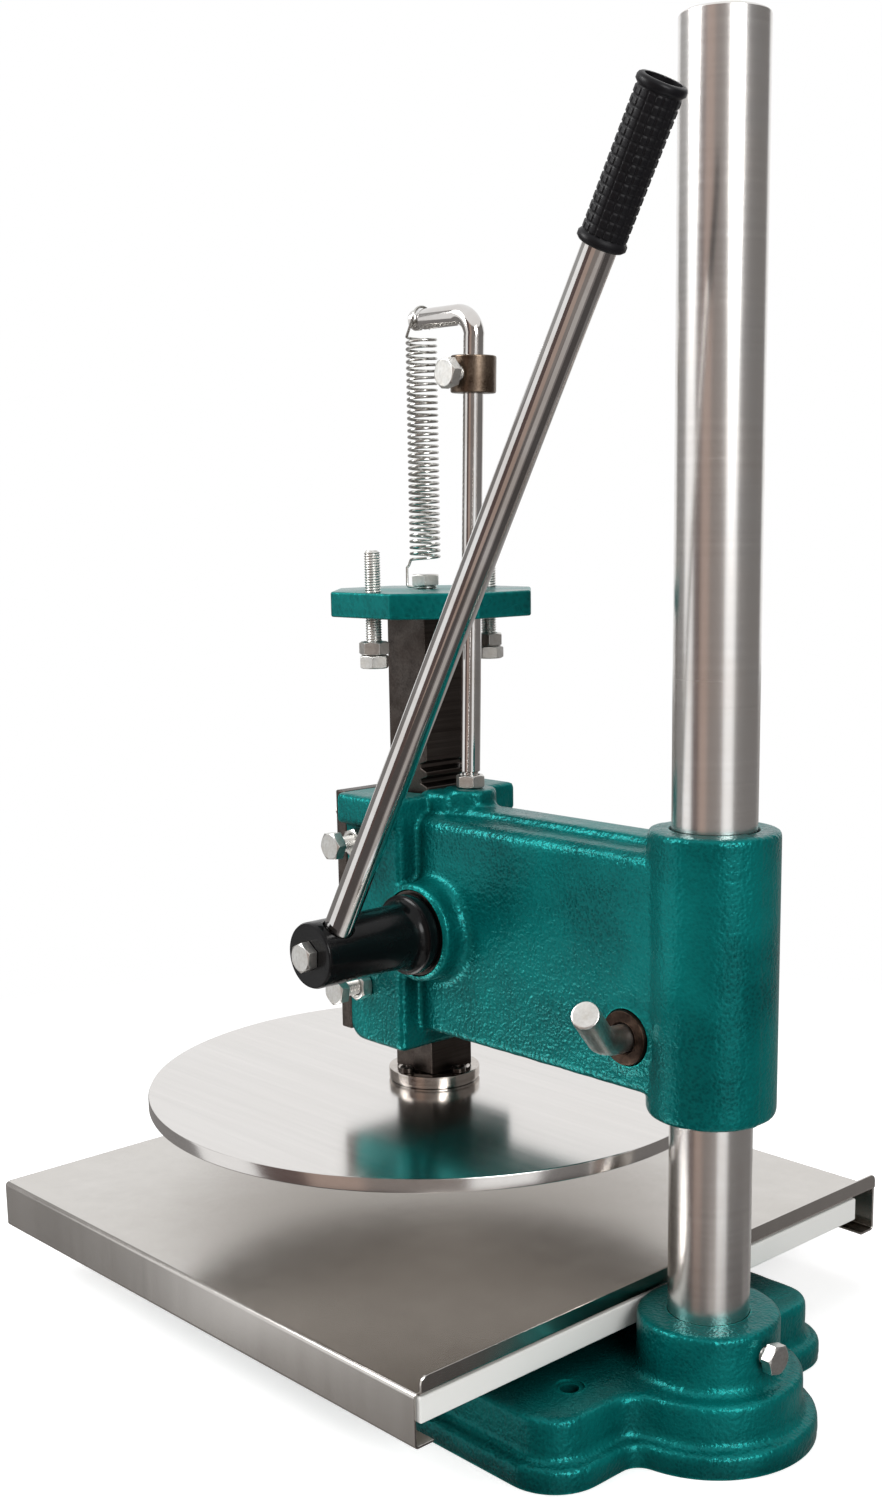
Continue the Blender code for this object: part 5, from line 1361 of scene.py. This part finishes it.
    def build_guides(self) -> None:
        """The front plate, its bolts, the gib and the gib's screws."""
        low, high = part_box("front_plate")
        plate = block("front_cover", low, high, 0.8 * MM)
        holes = []
        for side in (-1, 1):
            for height in self.bolt_heights:
                hole = lathe("hole", [(4.4 * MM, 20 * MM), (4.4 * MM, -20 * MM)], 32)
                holes.append(stand(hole, (side * self.bolt_x, low.y, height), Axis.Y))
        combine(plate, "DIFFERENCE", holes)
        self.place(plate, "plate_steel", Slot.DARK_STEEL, Body.ARM, "front_plate")
        names = iter(range(1, 5))
        for height in self.bolt_heights:
            for side in (-1, 1):
                index = next(names)
                bolt = M8.screw(f"cover_bolt_{index}", 22 * MM, False)
                stand(bolt, (side * self.bolt_x, low.y - FIT, height), Axis.MINUS_Y, 0.4 * index)
                self.place(bolt, "zinc", Slot.ZINC, Body.ARM, f"front_plate_bolt_{index}")
        self.redress("ram_gib", "bronze")
        for name, height, turn in zip(("lower", "upper"), self.gib_heights, (0.35, 0.1)):
            seat = self.head_half + 15.5 * MM
            screw = M8.screw(f"gib_adjuster_{name}", seat - self.channel[1], True)
            stand(screw, (seat, self.gib_y, height), Axis.X, turn)
            self.place(screw, "zinc", Slot.ZINC, Body.ARM, f"gib_screw_{name}")
            nut = M8.hex_nut(f"gib_lock_{name}")
            stand(nut, (self.head_half + FIT, self.gib_y, height), Axis.X, turn + 0.2)
            self.place(nut, "zinc", Slot.ZINC, Body.ARM, f"gib_nut_{name}")

    def build_clamp(self) -> None:
        """The scalloped bushes and the bent clamp screw."""
        outer = self.web[0] + 3 * MM
        for name, axis in (("near", Axis.X), ("far", Axis.MINUS_X)):
            r, bore = self.clamp_radius, 6.9 * MM
            bush = lathe(f"clamp_collet_{name}", [
                (bore + 0.8 * MM, outer), (r - 1.6 * MM, outer), (r - 0.5 * MM, outer - 0.4 * MM),
                (r, outer - 1.6 * MM), (r, 5.4 * MM), (r - 0.4 * MM, 5 * MM), (bore, 5 * MM),
                (bore, outer - 0.8 * MM)], 72, closed=True)
            stand(bush, (0, *self.clamp), axis)
            scallop = lathe("scallop", [(self.bore, 30 * MM), (self.bore, -30 * MM)], 128)
            stand(scallop, (0, self.throat, self.clamp[1]))
            combine(bush, "DIFFERENCE", [scallop])
            self.place(bush, "rusty", Slot.BROWN_STEEL, Body.ARM, f"clamp_bush_{name}")
        elbow = Vector((self.elbow_x, *self.clamp))
        crank = Vector(self.crank)
        out = crank.normalized()
        reach = 10 * MM
        before, after = elbow - Vector((reach, 0, 0)), elbow + out * reach
        end = elbow + crank
        radius = 6.5 * MM
        far = -self.web[0]
        path = [Vector((far, *self.clamp)), Vector((far + 0.7 * MM, *self.clamp))]
        radii = [radius - 0.7 * MM, radius]
        for step in range(13):
            t = step / 12
            path.append(before * (1 - t) ** 2 + elbow * 2 * t * (1 - t) + after * t ** 2)
            radii.append(radius)
        path += [end - out * 1.2 * MM, end - out * 0.4 * MM, end]
        radii += [radius, radius - 0.35 * MM, radius - 1.2 * MM]
        crank_piece = sweep("clamp_crank", path, radii, 40)
        self.place(crank_piece, "zinc", Slot.ZINC, Body.CLAMP, "clamp_screw")


@dataclass
class Ram(Assembly):
    """The rack-cut ram, the pressing plate below it and the stop plate above it."""

    side: float = 28 * MM
    bottom: float = 135.1 * MM
    top: float = 371.7 * MM
    module: float = 2.5 * MM
    pinion_height: float = 218 * MM
    teeth: tuple[int, int] = (4, 10)
    disc: tuple[float, float, float] = (150 * MM, 121 * MM, 128 * MM)
    flange: tuple[float, float, float] = (24 * MM, 128.3 * MM, 134.8 * MM)
    plate: tuple[float, float, float] = (47.5 * MM, 52.5 * MM, 30 * MM)
    plate_low: float = 372 * MM
    plate_high: float = 384.4 * MM
    plate_shift: float = 5 * MM
    stud_x: float = 39 * MM
    rod_hole: tuple[float, float] = (33.5 * MM, 7.5 * MM)

    def rack(self) -> Profile:
        """The ram's side view with its rack, as (y, z) points."""
        half, m = self.side / 2, self.module
        pitch, slope = math.pi * m, math.tan(math.radians(20))
        root = half - 0.75 * m - 0.9 * m - 0.6 * MM
        tip_gap = pitch / 2 + 0.25 * MM + 1.5 * m * slope
        root_gap = tip_gap - 2 * (half - root) * slope
        points = [(-half, self.top), (-half, self.bottom), (half, self.bottom)]
        for index in range(-self.teeth[0], self.teeth[1] + 1):
            z = self.pinion_height + index * pitch
            points += [(half, z - tip_gap / 2), (root, z - root_gap / 2), (root, z + root_gap / 2),
                       (half, z + tip_gap / 2)]
        return points + [(half, self.top)]

    def build(self) -> None:
        """Build the ram, its plate, its disc and their fasteners."""
        bar = prism("ram_bar", list(reversed(self.rack())), -self.side / 2, self.side / 2)
        stand(bar, (0, 0, 0), Axis.SECTION)
        settle(bevel(bar, 0.45 * MM, 2, 35))
        spigot = lathe("spigot", [(10 * MM, self.bottom + 3 * MM), (10 * MM, self.bottom - 5 * MM),
                                  (9.5 * MM, self.bottom - 5.5 * MM)], 48)
        combine(bar, "UNION", [spigot])
        self.place(bar, "ram", Slot.DARK_STEEL, Body.RAM, "ram")
        self.build_disc()
        self.build_plate()

    def build_disc(self) -> None:
        """The pressing plate, its flange and the four sunk screws."""
        radius, low, high = self.disc
        disc = lathe("pressing_plate", [
            (26 * MM, high), (radius - 0.9 * MM, high), (radius - 0.3 * MM, high - 0.25 * MM),
            (radius, high - 0.9 * MM), (radius, low + 0.7 * MM), (radius - 0.25 * MM, low + 0.2 * MM),
            (radius - 0.7 * MM, low), (26 * MM, low)], 288)
        self.place(disc, "disc", Slot.POLISHED, Body.RAM, "press_disc")
        radius, low, high = self.flange
        flange = lathe("ram_foot", [
            (radius - 5 * MM, high - 1.2 * MM), (radius - 4.6 * MM, high), (radius - 0.8 * MM, high),
            (radius - 0.2 * MM, high - 0.25 * MM), (radius, high - 0.9 * MM), (radius, low + 1.3 * MM),
            (radius - 0.9 * MM, low + 0.9 * MM), (radius - 0.9 * MM, low), (10.3 * MM, low),
            (10.3 * MM, high - 1.2 * MM)], 128, closed=True)
        self.place(flange, "flange", Slot.POLISHED, Body.RAM, "ram_flange")
        for index in range(4):
            a = math.radians(90 * index)
            screw = lathe(f"foot_screw_{index + 1}", [
                (1.6 * MM, 2.6 * MM - 1.6 * MM), (2.0 * MM, 2.6 * MM), (3.3 * MM, 2.6 * MM),
                (3.8 * MM, 2.1 * MM), (3.8 * MM, 0), (2.5 * MM, -0.2 * MM), (2.5 * MM, -11.4 * MM)], 32)
            stand(screw, (19 * MM * math.cos(a), 19 * MM * math.sin(a), high + FIT))
            self.place(screw, "ram", Slot.DARK_STEEL, Body.RAM, f"flange_screw_{index + 1}")

    def build_plate(self) -> None:
        """The octagonal plate, its bolt, and the stop studs with their nuts."""
        w, d, c = self.plate
        outline = [(w, -d + c), (w, d - c), (w - c, d), (c - w, d), (-w, d - c), (-w, c - d), (c - w, -d),
                   (w - c, -d)]
        plate = prism("stop_plate", [(x, y + self.plate_shift) for x, y in outline], self.plate_low,
                      self.plate_high)
        settle(bevel(plate, 1.1 * MM, 3, 30))
        holes = [(0.0, 0.0, 4.4 * MM), (0.0, *self.rod_hole), (self.stud_x, self.plate_shift, 4.4 * MM),
                 (-self.stud_x, self.plate_shift, 4.4 * MM)]
        cutters = []
        flare, lead, over = 1.4 * MM, 0.4 * MM, MM
        for x, y, radius in holes:
            wide = radius + flare
            bore = [(wide, self.plate_high + over), (radius, self.plate_high - lead),
                    (radius, self.plate_low + lead), (wide, self.plate_low - over)]
            cutters.append(stand(lathe("hole", bore, 48), (x, y, 0)))
        combine(plate, "DIFFERENCE", cutters)
        self.place(plate, "plate_enamel", Slot.ENAMEL, Body.RAM, "top_plate")
        bolt = M8.screw("plate_bolt", 34 * MM, False)
        stand(bolt, (0, 0, self.plate_high + 2 * MM), Axis.Z, 0.25)
        self.place(bolt, "zinc", Slot.ZINC, Body.RAM, "top_plate_bolt")
        foot = self.plate_low - 24.6 * MM
        for side, name in ((1, "right"), (-1, "left")):
            stud = M8.thread(f"stop_rod_{name}", foot, self.plate_high + 20 * MM)
            stand(stud, (side * self.stud_x, self.plate_shift, 0))
            self.place(stud, "zinc", Slot.ZINC, Body.RAM, f"stop_stud_{name}", angle=80)
            for level, label in ((0, "lower"), (1, "upper")):
                nut = M8.hex_nut(f"stop_hex_{name}_{label}")
                stand(nut, (side * self.stud_x, self.plate_shift, foot + level * (M8.nut + FIT)), Axis.Z,
                      0.5 * level + 0.2 * side)
                self.place(nut, "zinc", Slot.ZINC, Body.RAM, f"stop_nut_{name}_{label}")


@dataclass
class ReturnGear(Assembly):
    """The bent guide rod, its stop collar and the return spring."""

    radius: float = 5 * MM
    base_y: float = 31 * MM
    lug_top: float = 286.2 * MM
    lean: float = math.radians(1.8)
    top: float = 515 * MM
    bend: float = 11 * MM
    end_y: float = -4.5 * MM
    hook_y: float = 1 * MM
    collar: tuple[float, float, float] = (11 * MM, 478 * MM, 17.5 * MM)
    coil: float = 7.2 * MM
    wire: float = 0.7 * MM
    coil_low: float = 399 * MM
    coil_high: float = 507 * MM
    coils: int = 36
    plate_high: float = 384.4 * MM

    def y_at(self, height: float) -> float:
        """Y of the leaning rod at a height."""
        return self.base_y + max(0.0, height - self.lug_top - 6.7 * MM) * math.tan(self.lean)

    def build_rod(self) -> None:
        """The rod, with its thread, bend and spring groove, and its nut."""
        nut_top = self.lug_top + FIT + M8.nut
        low = self.lug_top - 19 * MM
        bend_low, top_y = self.top - self.bend, self.y_at(self.top)
        path: list[Point] = [(0, self.base_y, low), (0, self.base_y, nut_top + 1.2 * MM),
                             (0, self.base_y, nut_top + 2 * MM), (0, self.y_at(bend_low), bend_low)]
        radii = [M8.radius, M8.radius, self.radius, self.radius]
        for step in range(1, 12):
            a = math.radians(90 * step / 12)
            path.append((0, top_y - self.bend * (1 - math.cos(a)), bend_low + self.bend * math.sin(a)))
            radii.append(self.radius)
        stops = [(top_y - self.bend, 1.0), (self.hook_y + 2.2 * MM, 1.0), (self.hook_y + 1.2 * MM, 0.86),
                 (self.hook_y - 1.2 * MM, 0.86), (self.hook_y - 2.2 * MM, 1.0),
                 (self.end_y + 0.6 * MM, 1.0), (self.end_y, 0.88)]
        for y, share in stops:
            path.append((0, y, self.top))
            radii.append(self.radius * share)
        self.place(sweep("guide_bar", path, radii, 48), "chrome", Slot.CHROME, Body.ARM, "guide_rod")
        nut = stand(M8.hex_nut("guide_bar_nut"), (0, self.base_y, self.lug_top + FIT), Axis.Z, 0.5)
        self.place(nut, "zinc", Slot.ZINC, Body.ARM, "guide_rod_nut")

    def build_collar(self) -> None:
        """The stop collar and its set screw."""
        radius, low, height = self.collar
        half = height / 2
        middle = (0.0, self.y_at(low + half), low + half)
        bore = self.radius + FIT
        collar = lathe("stop_ring", [
            (radius - 0.9 * MM, half), (radius - 0.25 * MM, half - 0.3 * MM), (radius, half - 0.9 * MM),
            (radius, 0.9 * MM - half), (radius - 0.25 * MM, 0.3 * MM - half), (radius - 0.9 * MM, -half),
            (bore + 0.6 * MM, -half), (bore, 0.6 * MM - half), (bore, half - 0.6 * MM),
            (bore + 0.6 * MM, half)], 96, closed=True)
        collar.matrix_world = Matrix.Translation(middle) @ Matrix.Rotation(-self.lean, 4, "X")
        hole = lathe("hole", [(4.4 * MM, 20 * MM), (4.4 * MM, 3 * MM)], 32)
        combine(collar, "DIFFERENCE", [stand(hole, middle, Axis.X)])
        self.place(collar, "bronze", Slot.BROWN_STEEL, Body.COLLAR, "stop_collar")
        screw = M8.screw("stop_ring_screw", 8.9 * MM, True)
        stand(screw, (radius + 3.2 * MM, middle[1], middle[2]), Axis.X, 0.2)
        self.place(screw, "zinc", Slot.ZINC, Body.COLLAR, "collar_screw")

    def build_spring(self) -> None:
        """The spring: a loop under the bolt's head, a riser, the coils and the upper hook."""
        loop = M8.radius + FIT + self.wire
        loop_z = self.plate_high + MM
        start = math.radians(-45)
        path: list[Point] = []
        for step in range(25):
            a = start + math.radians(300 - 11 * step)
            path.append((loop * math.cos(a), loop * math.sin(a), loop_z))
        out = (self.coil + 2 * MM) / math.sqrt(2)
        foot = Vector((out, -out, loop_z + 0.3 * MM))
        head = Vector((out, -out, self.coil_low - 3 * MM))
        path += [tuple(foot.lerp(Vector(path[-1]), 0.15)), tuple(foot + Vector((0, 0, 0.8 * MM)))]
        path += [tuple(head - Vector((0, 0, MM))), tuple(head.lerp(Vector((0, 0, head.z + MM)), 0.1))]
        steps = self.coils * 24
        for step in range(steps + 1):
            a = start + 2 * math.pi * step / 24
            z = self.coil_low + (self.coil_high - self.coil_low) * step / steps
            path.append((self.coil * math.cos(a), self.coil * math.sin(a), z))
        hook = self.radius + FIT + self.wire
        for angle in range(8, 232, 12):
            a = math.radians(angle)
            path.append((hook * math.cos(a), self.hook_y, self.top + hook * math.sin(a)))
        spring = sweep("draw_spring", path, self.wire, 10)
        smooth_faces(spring)
        spring.data.materials.append(self.finishes["wire"])
        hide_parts("return_spring")
        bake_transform(spring)
        LOG.info("draw_spring stretches between %s and %s", Body.RAM.value, Body.ARM.value)

    def build(self) -> None:
        """Build the rod, the collar and the spring."""
        self.build_rod()
        self.build_collar()
        self.build_spring()


@dataclass
class Lever(Assembly):
    """The black hub, the chromed lever and its ribbed grip."""

    pinion: tuple[float, float] = (30.875 * MM, 218 * MM)
    x: float = 93 * MM
    lean: float = math.radians(30.1)
    length: float = 409 * MM
    radius: float = 7 * MM
    socket: float = 10 * MM
    hub: float = 16 * MM
    hub_flange: float = 20 * MM
    hub_start: float = 40.3 * MM
    flange_end: float = 46 * MM
    hub_neck: float = 53 * MM
    hub_end: float = 105.2 * MM
    stub: tuple[float, float] = (9.3 * MM, 78.3 * MM)
    grip: tuple[float, float, float] = (9 * MM, 9.8 * MM, 61 * MM)
    cells_around: int = 18
    cells_along: int = 15

    def along(self, obj: bpy.types.Object, distance: float) -> bpy.types.Object:
        """Lay a piece along the lever.

        Args:
            obj: the piece, round its own Z axis.
            distance: how far up the lever its origin goes.

        Returns:
            The same piece.
        """
        y, z = self.pinion
        origin = (self.x, y + distance * math.sin(self.lean), z + distance * math.cos(self.lean))
        obj.data.transform(Matrix.Translation(origin) @ Matrix.Rotation(-self.lean, 4, "X"))
        return obj

    def build_hub(self) -> None:
        """The flared hub with its lever socket, and its end bolt."""
        r, end = self.hub, self.hub_end
        flare = []
        for a in (math.radians(d) for d in range(0, 91, 10)):
            flare.append((r + (self.hub_flange - r) * (1 - math.cos(a)),
                          self.hub_neck - (self.hub_neck - self.flange_end) * math.sin(a)))
        bore, bore_end = self.stub
        hub = lathe("lever_boss", [
            (r - 1.8 * MM, end), (r - 0.6 * MM, end - 0.5 * MM), (r, end - 1.8 * MM)] + flare + [
            (self.hub_flange, self.hub_start + MM), (self.hub_flange - MM, self.hub_start),
            (bore, self.hub_start), (bore, bore_end)], 128)
        stand(hub, (0, *self.pinion), Axis.X)
        socket = lathe("socket", [(self.radius + FIT + 0.8 * MM, 30 * MM), (self.radius + FIT + 0.8 * MM,
                                  self.hub - 0.5 * MM), (self.radius + FIT, self.hub - 1.6 * MM),
                                  (self.radius + FIT, -self.socket)], 64)
        hole = lathe("hole", [(4.4 * MM, end + MM), (4.4 * MM, self.x)], 32)
        combine(hub, "DIFFERENCE", [self.along(socket, 0), stand(hole, (0, *self.pinion), Axis.X)])
        self.place(hub, "hub", Slot.BLACK_GLOSS, Body.LEVER, "lever_hub")
        bolt = M8.screw("hub_bolt", self.hub_end - self.x - self.radius, False)
        stand(bolt, (end + FIT, *self.pinion), Axis.X, 0.45)
        self.place(bolt, "zinc", Slot.ZINC, Body.LEVER, "hub_end_bolt")

    def build_rod(self) -> None:
        """The chromed rod."""
        low, high = FIT - self.socket, self.length - 4 * MM
        rod = lathe("lever_bar", [(self.radius - MM, high), (self.radius, high - MM),
                                  (self.radius, low + MM), (self.radius - MM, low)], 72)
        self.place(self.along(rod, 0), "chrome", Slot.CHROME, Body.LEVER, "lever_rod")

    def build_grip(self) -> None:
        """The grip: a sleeve with moulded cells between two rims."""
        radius, rim, length = self.grip
        around, along = self.cells_around * 8, self.cells_along * 8
        first, last = 4 * MM, length - 4 * MM
        bm = bmesh.new()
        rows = [(rim - MM, 0.0), (rim, MM), (rim, 2.6 * MM), (radius, 3.6 * MM)]
        cells = [(None, first + (last - first) * row / along) for row in range(along + 1)]
        tail = [(radius, length - 3.6 * MM), (rim, length - 2.8 * MM), (rim, length - 1.4 * MM),
                (rim - 0.4 * MM, length - 0.5 * MM), (rim - 1.2 * MM, length)]
        loops = []
        for index, (fixed, height) in enumerate(rows + cells + tail):
            ring = []
            for side in range(around):
                size = fixed
                if fixed is None:
                    row = index - len(rows)
                    in_groove = row % 8 in (0, 7) or side % 8 in (0, 7)
                    size = radius - (0.42 * MM if in_groove else 0.0)
                a = 2 * math.pi * side / around
                ring.append(bm.verts.new((size * math.cos(a), size * math.sin(a), height)))
            loops.append(ring)
        bore = self.radius + FIT
        for height in (length, 0.0):
            loops.append([bm.verts.new((bore * math.cos(2 * math.pi * s / around),
                                        bore * math.sin(2 * math.pi * s / around), height))
                          for s in range(around)])
        for upper, lower in zip(loops, loops[1:] + loops[:1]):
            for i in range(around):
                j = (i + 1) % around
                bm.faces.new((lower[i], lower[j], upper[j], upper[i]))
        grip = self.along(mesh_object("hand_grip", bm), self.length - length)
        self.place(grip, "grip", Slot.BLACK_PLASTIC, Body.LEVER, "lever_grip", angle=50)

    def build(self) -> None:
        """Build the hub, the rod and the grip, and dress the pinion."""
        self.build_hub()
        self.build_rod()
        self.build_grip()
        self.redress("pinion_shaft", "ram")
        self.redress("pinion_end_screw", "zinc")


# ---------------------------------------------------------------- studio

@dataclass
class Studio:
    """The floor, the lights, the surroundings that metal reflects, and the camera."""

    camera_place: Point = (0.6056, 0.6788, 0.4218)
    camera_right: Point = (-0.72732, 0.68618, -0.01293)
    camera_up: Point = (-0.14079, -0.13074, 0.98137)
    lens: float = 42.8
    shift: tuple[float, float] = (-0.0226, 0.0740)
    room_light: float = 0.34
    floor_glow: float = 0.55
    throat: float = 188 * MM
    flag_radius: float = 1.6
    tall: tuple[float, float] = (-0.62, 1.5)
    under: tuple[float, float] = (-3.0, -0.62)

    def flags(self) -> list[tuple[float, float, tuple[float, float], Colour]]:
        """The cards: first and last degree round the column, lower and upper edge, and colour."""
        tall, under, low = self.tall, self.under, self.tall[0]
        return [
            (117, 180, tall, (0.20, 0.19, 0.185)), (180, 213, (low, 0.22), (0.34, 0.33, 0.32)),
            (213, 260, (low, 0.20), (0.26, 0.25, 0.24)), (-100, -56, (low, 0.78), (0.25, 0.24, 0.235)),
            (-27, -6, tall, (0.120, 0.086, 0.080)), (-6, 16, tall, (0.43, 0.33, 0.285)),
            (16, 57, tall, (0.255, 0.225, 0.21)), (86, 117, tall, (0.21, 0.20, 0.195)),
            (-100, -56, (0.78, tall[1]), (0.38, 0.375, 0.37)),
            (-180, -27, under, (0.28, 0.265, 0.255)), (-27, 28, under, (0.10, 0.088, 0.085)),
            (28, 38, under, (0.20, 0.18, 0.175)), (38, 74, under, (0.48, 0.45, 0.43)),
            (74, 88, under, (0.22, 0.20, 0.195)), (88, 146, under, (0.085, 0.078, 0.076)),
            (146, 180, under, (0.24, 0.225, 0.22))]

    def build(self) -> None:
        """Set up everything that isn't the press."""
        self.build_camera()
        self.build_world()
        self.build_flags()
        self.build_floor()
        self.build_lamps()
        view = bpy.context.scene.view_settings
        view.view_transform = "Standard"

    def build_camera(self) -> None:
        """The camera at the viewing angle, for a tall picture."""
        data = bpy.data.cameras.new("camera")
        data.sensor_width = 36
        data.lens = self.lens
        data.shift_x, data.shift_y = self.shift
        data.clip_start = 0.01
        camera = bpy.data.objects.new("camera", data)
        right, up = Vector(self.camera_right), Vector(self.camera_up)
        back = right.cross(up)
        turn = Matrix((right, up, back)).transposed().to_4x4()
        camera.matrix_world = Matrix.Translation(self.camera_place) @ turn
        bpy.context.scene.collection.objects.link(camera)
        bpy.context.scene.camera = camera

    def build_world(self) -> None:
        """White where it is seen or mirrored, and an even light for the rest."""
        world = bpy.data.worlds.new("studio")
        world.use_nodes = True
        bpy.context.scene.world = world
        tree = world.node_tree
        tree.nodes.clear()
        g = Graph(tree)
        rays = g.add("LightPath")
        shown = g.math("MAXIMUM", rays.outputs["Is Glossy Ray"], rays.outputs["Is Transmission Ray"])
        shown = g.math("MAXIMUM", shown, rays.outputs["Is Camera Ray"])
        seen = g.add("Background", Color=(1.0, 1.0, 1.0, 1.0), Strength=1.0)
        soft = g.add("Background", Color=(1.0, 0.99, 0.98, 1.0), Strength=self.room_light)
        mix = g.add("MixShader")
        for socket, value in zip(mix.inputs, (shown, soft.outputs[0], seen.outputs[0])):
            g.feed(socket, value)
        g.feed(g.add("OutputWorld").inputs["Surface"], mix.outputs[0])

    def build_flags(self) -> None:
        """Tall dark cards round the press that only mirrored light meets, with two bright gaps."""
        for index, (start, end, edges, colour) in enumerate(self.flags()):
            bm = bmesh.new()
            steps = max(2, int((end - start) / 3))
            rows = []
            for step in range(steps + 1):
                a = math.radians(start + (end - start) * step / steps)
                x, y = self.flag_radius * math.cos(a), self.flag_radius * math.sin(a)
                rows.append([bm.verts.new((x, y + self.throat, z)) for z in edges])
            for first, second in zip(rows, rows[1:]):
                bm.faces.new((first[0], second[0], second[1], first[1]))
            flag = mesh_object(f"flag_{index + 1}", bm)
            material, g, shader = start_material(f"flag_cloth_{index + 1}")
            g.tree.nodes.remove(shader)
            show_surface(g, g.add("Emission", Color=(*colour, 1.0), Strength=1.0).outputs[0])
            flag.data.materials.append(material)
            flag.visible_camera = flag.visible_diffuse = flag.visible_transmission = False
            flag.visible_shadow = flag.visible_volume_scatter = False

    def build_floor(self) -> None:
        """A white floor that keeps the shadow near the press."""
        bm = bmesh.new()
        bmesh.ops.create_grid(bm, x_segments=1, y_segments=1, size=30)
        floor = mesh_object("floor", bm)
        floor.location = (0, 0, -0.2 * MM)
        material, g, shader = start_material("floor_paper")
        shader.inputs["Base Color"].default_value = (0.86, 0.86, 0.86, 1)
        shader.inputs["Roughness"].default_value = 0.9
        shader.inputs["Specular IOR Level"].default_value = 0.1
        rays = g.add("LightPath")
        far = g.add("VectorMath", {"operation": "LENGTH"})
        g.feed(far.inputs[0], g.add("TexCoord").outputs["Object"])
        near_glow = g.add("Emission", Strength=self.floor_glow)
        total = g.add("AddShader")
        g.feed(total.inputs[0], shader.outputs[0])
        g.feed(total.inputs[1], near_glow.outputs[0])
        paper = g.add("Emission", Strength=1.0)
        shown = g.add("MixShader")
        g.feed(shown.inputs[0], g.spread(far.outputs["Value"], 0.30, 0.75))
        g.feed(shown.inputs[1], total.outputs[0])
        g.feed(shown.inputs[2], paper.outputs[0])
        mix = g.add("MixShader")
        g.feed(mix.inputs[0], rays.outputs["Is Camera Ray"])
        g.feed(mix.inputs[1], shader.outputs[0])
        g.feed(mix.inputs[2], shown.outputs[0])
        show_surface(g, mix.outputs[0])
        floor.data.materials.append(material)
        floor.visible_glossy = False

    def build_lamps(self) -> None:
        """Two large soft lamps, one to each side of the camera, and a weak one overhead."""
        lamps = (("key", (1.35, -0.95, 1.35), 1.0, 24.0, True),
                 ("fill", (0.55, 1.85, 1.15), 1.0, 20.0, True),
                 ("top", (-0.1, -0.2, 1.9), 1.4, 9.0, False))
        for name, place, size, power, mirrored in lamps:
            data = bpy.data.lights.new(name, "AREA")
            data.shape = "DISK"
            data.size = size
            data.energy = power
            lamp = bpy.data.objects.new(name, data)
            lamp.visible_glossy = mirrored
            aim = Vector((0, 0.05, 0.22)) - Vector(place)
            turned = aim.to_track_quat("-Z", "Y").to_matrix().to_4x4()
            lamp.matrix_world = Matrix.Translation(place) @ turned
            bpy.context.scene.collection.objects.link(lamp)


def main() -> None:
    """Build every sub-assembly and the studio."""
    logging.basicConfig(level=logging.INFO, format="%(message)s")
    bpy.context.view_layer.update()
    finishes = Finishes()
    for assembly in (BasePedestal(finishes), Column(finishes), TrayAndBoard(finishes), Arm(finishes),
                     Ram(finishes), ReturnGear(finishes), Lever(finishes)):
        LOG.info("building %s", type(assembly).__name__)
        assembly.build()
    Studio().build()


if __name__ == "__main__":
    main()
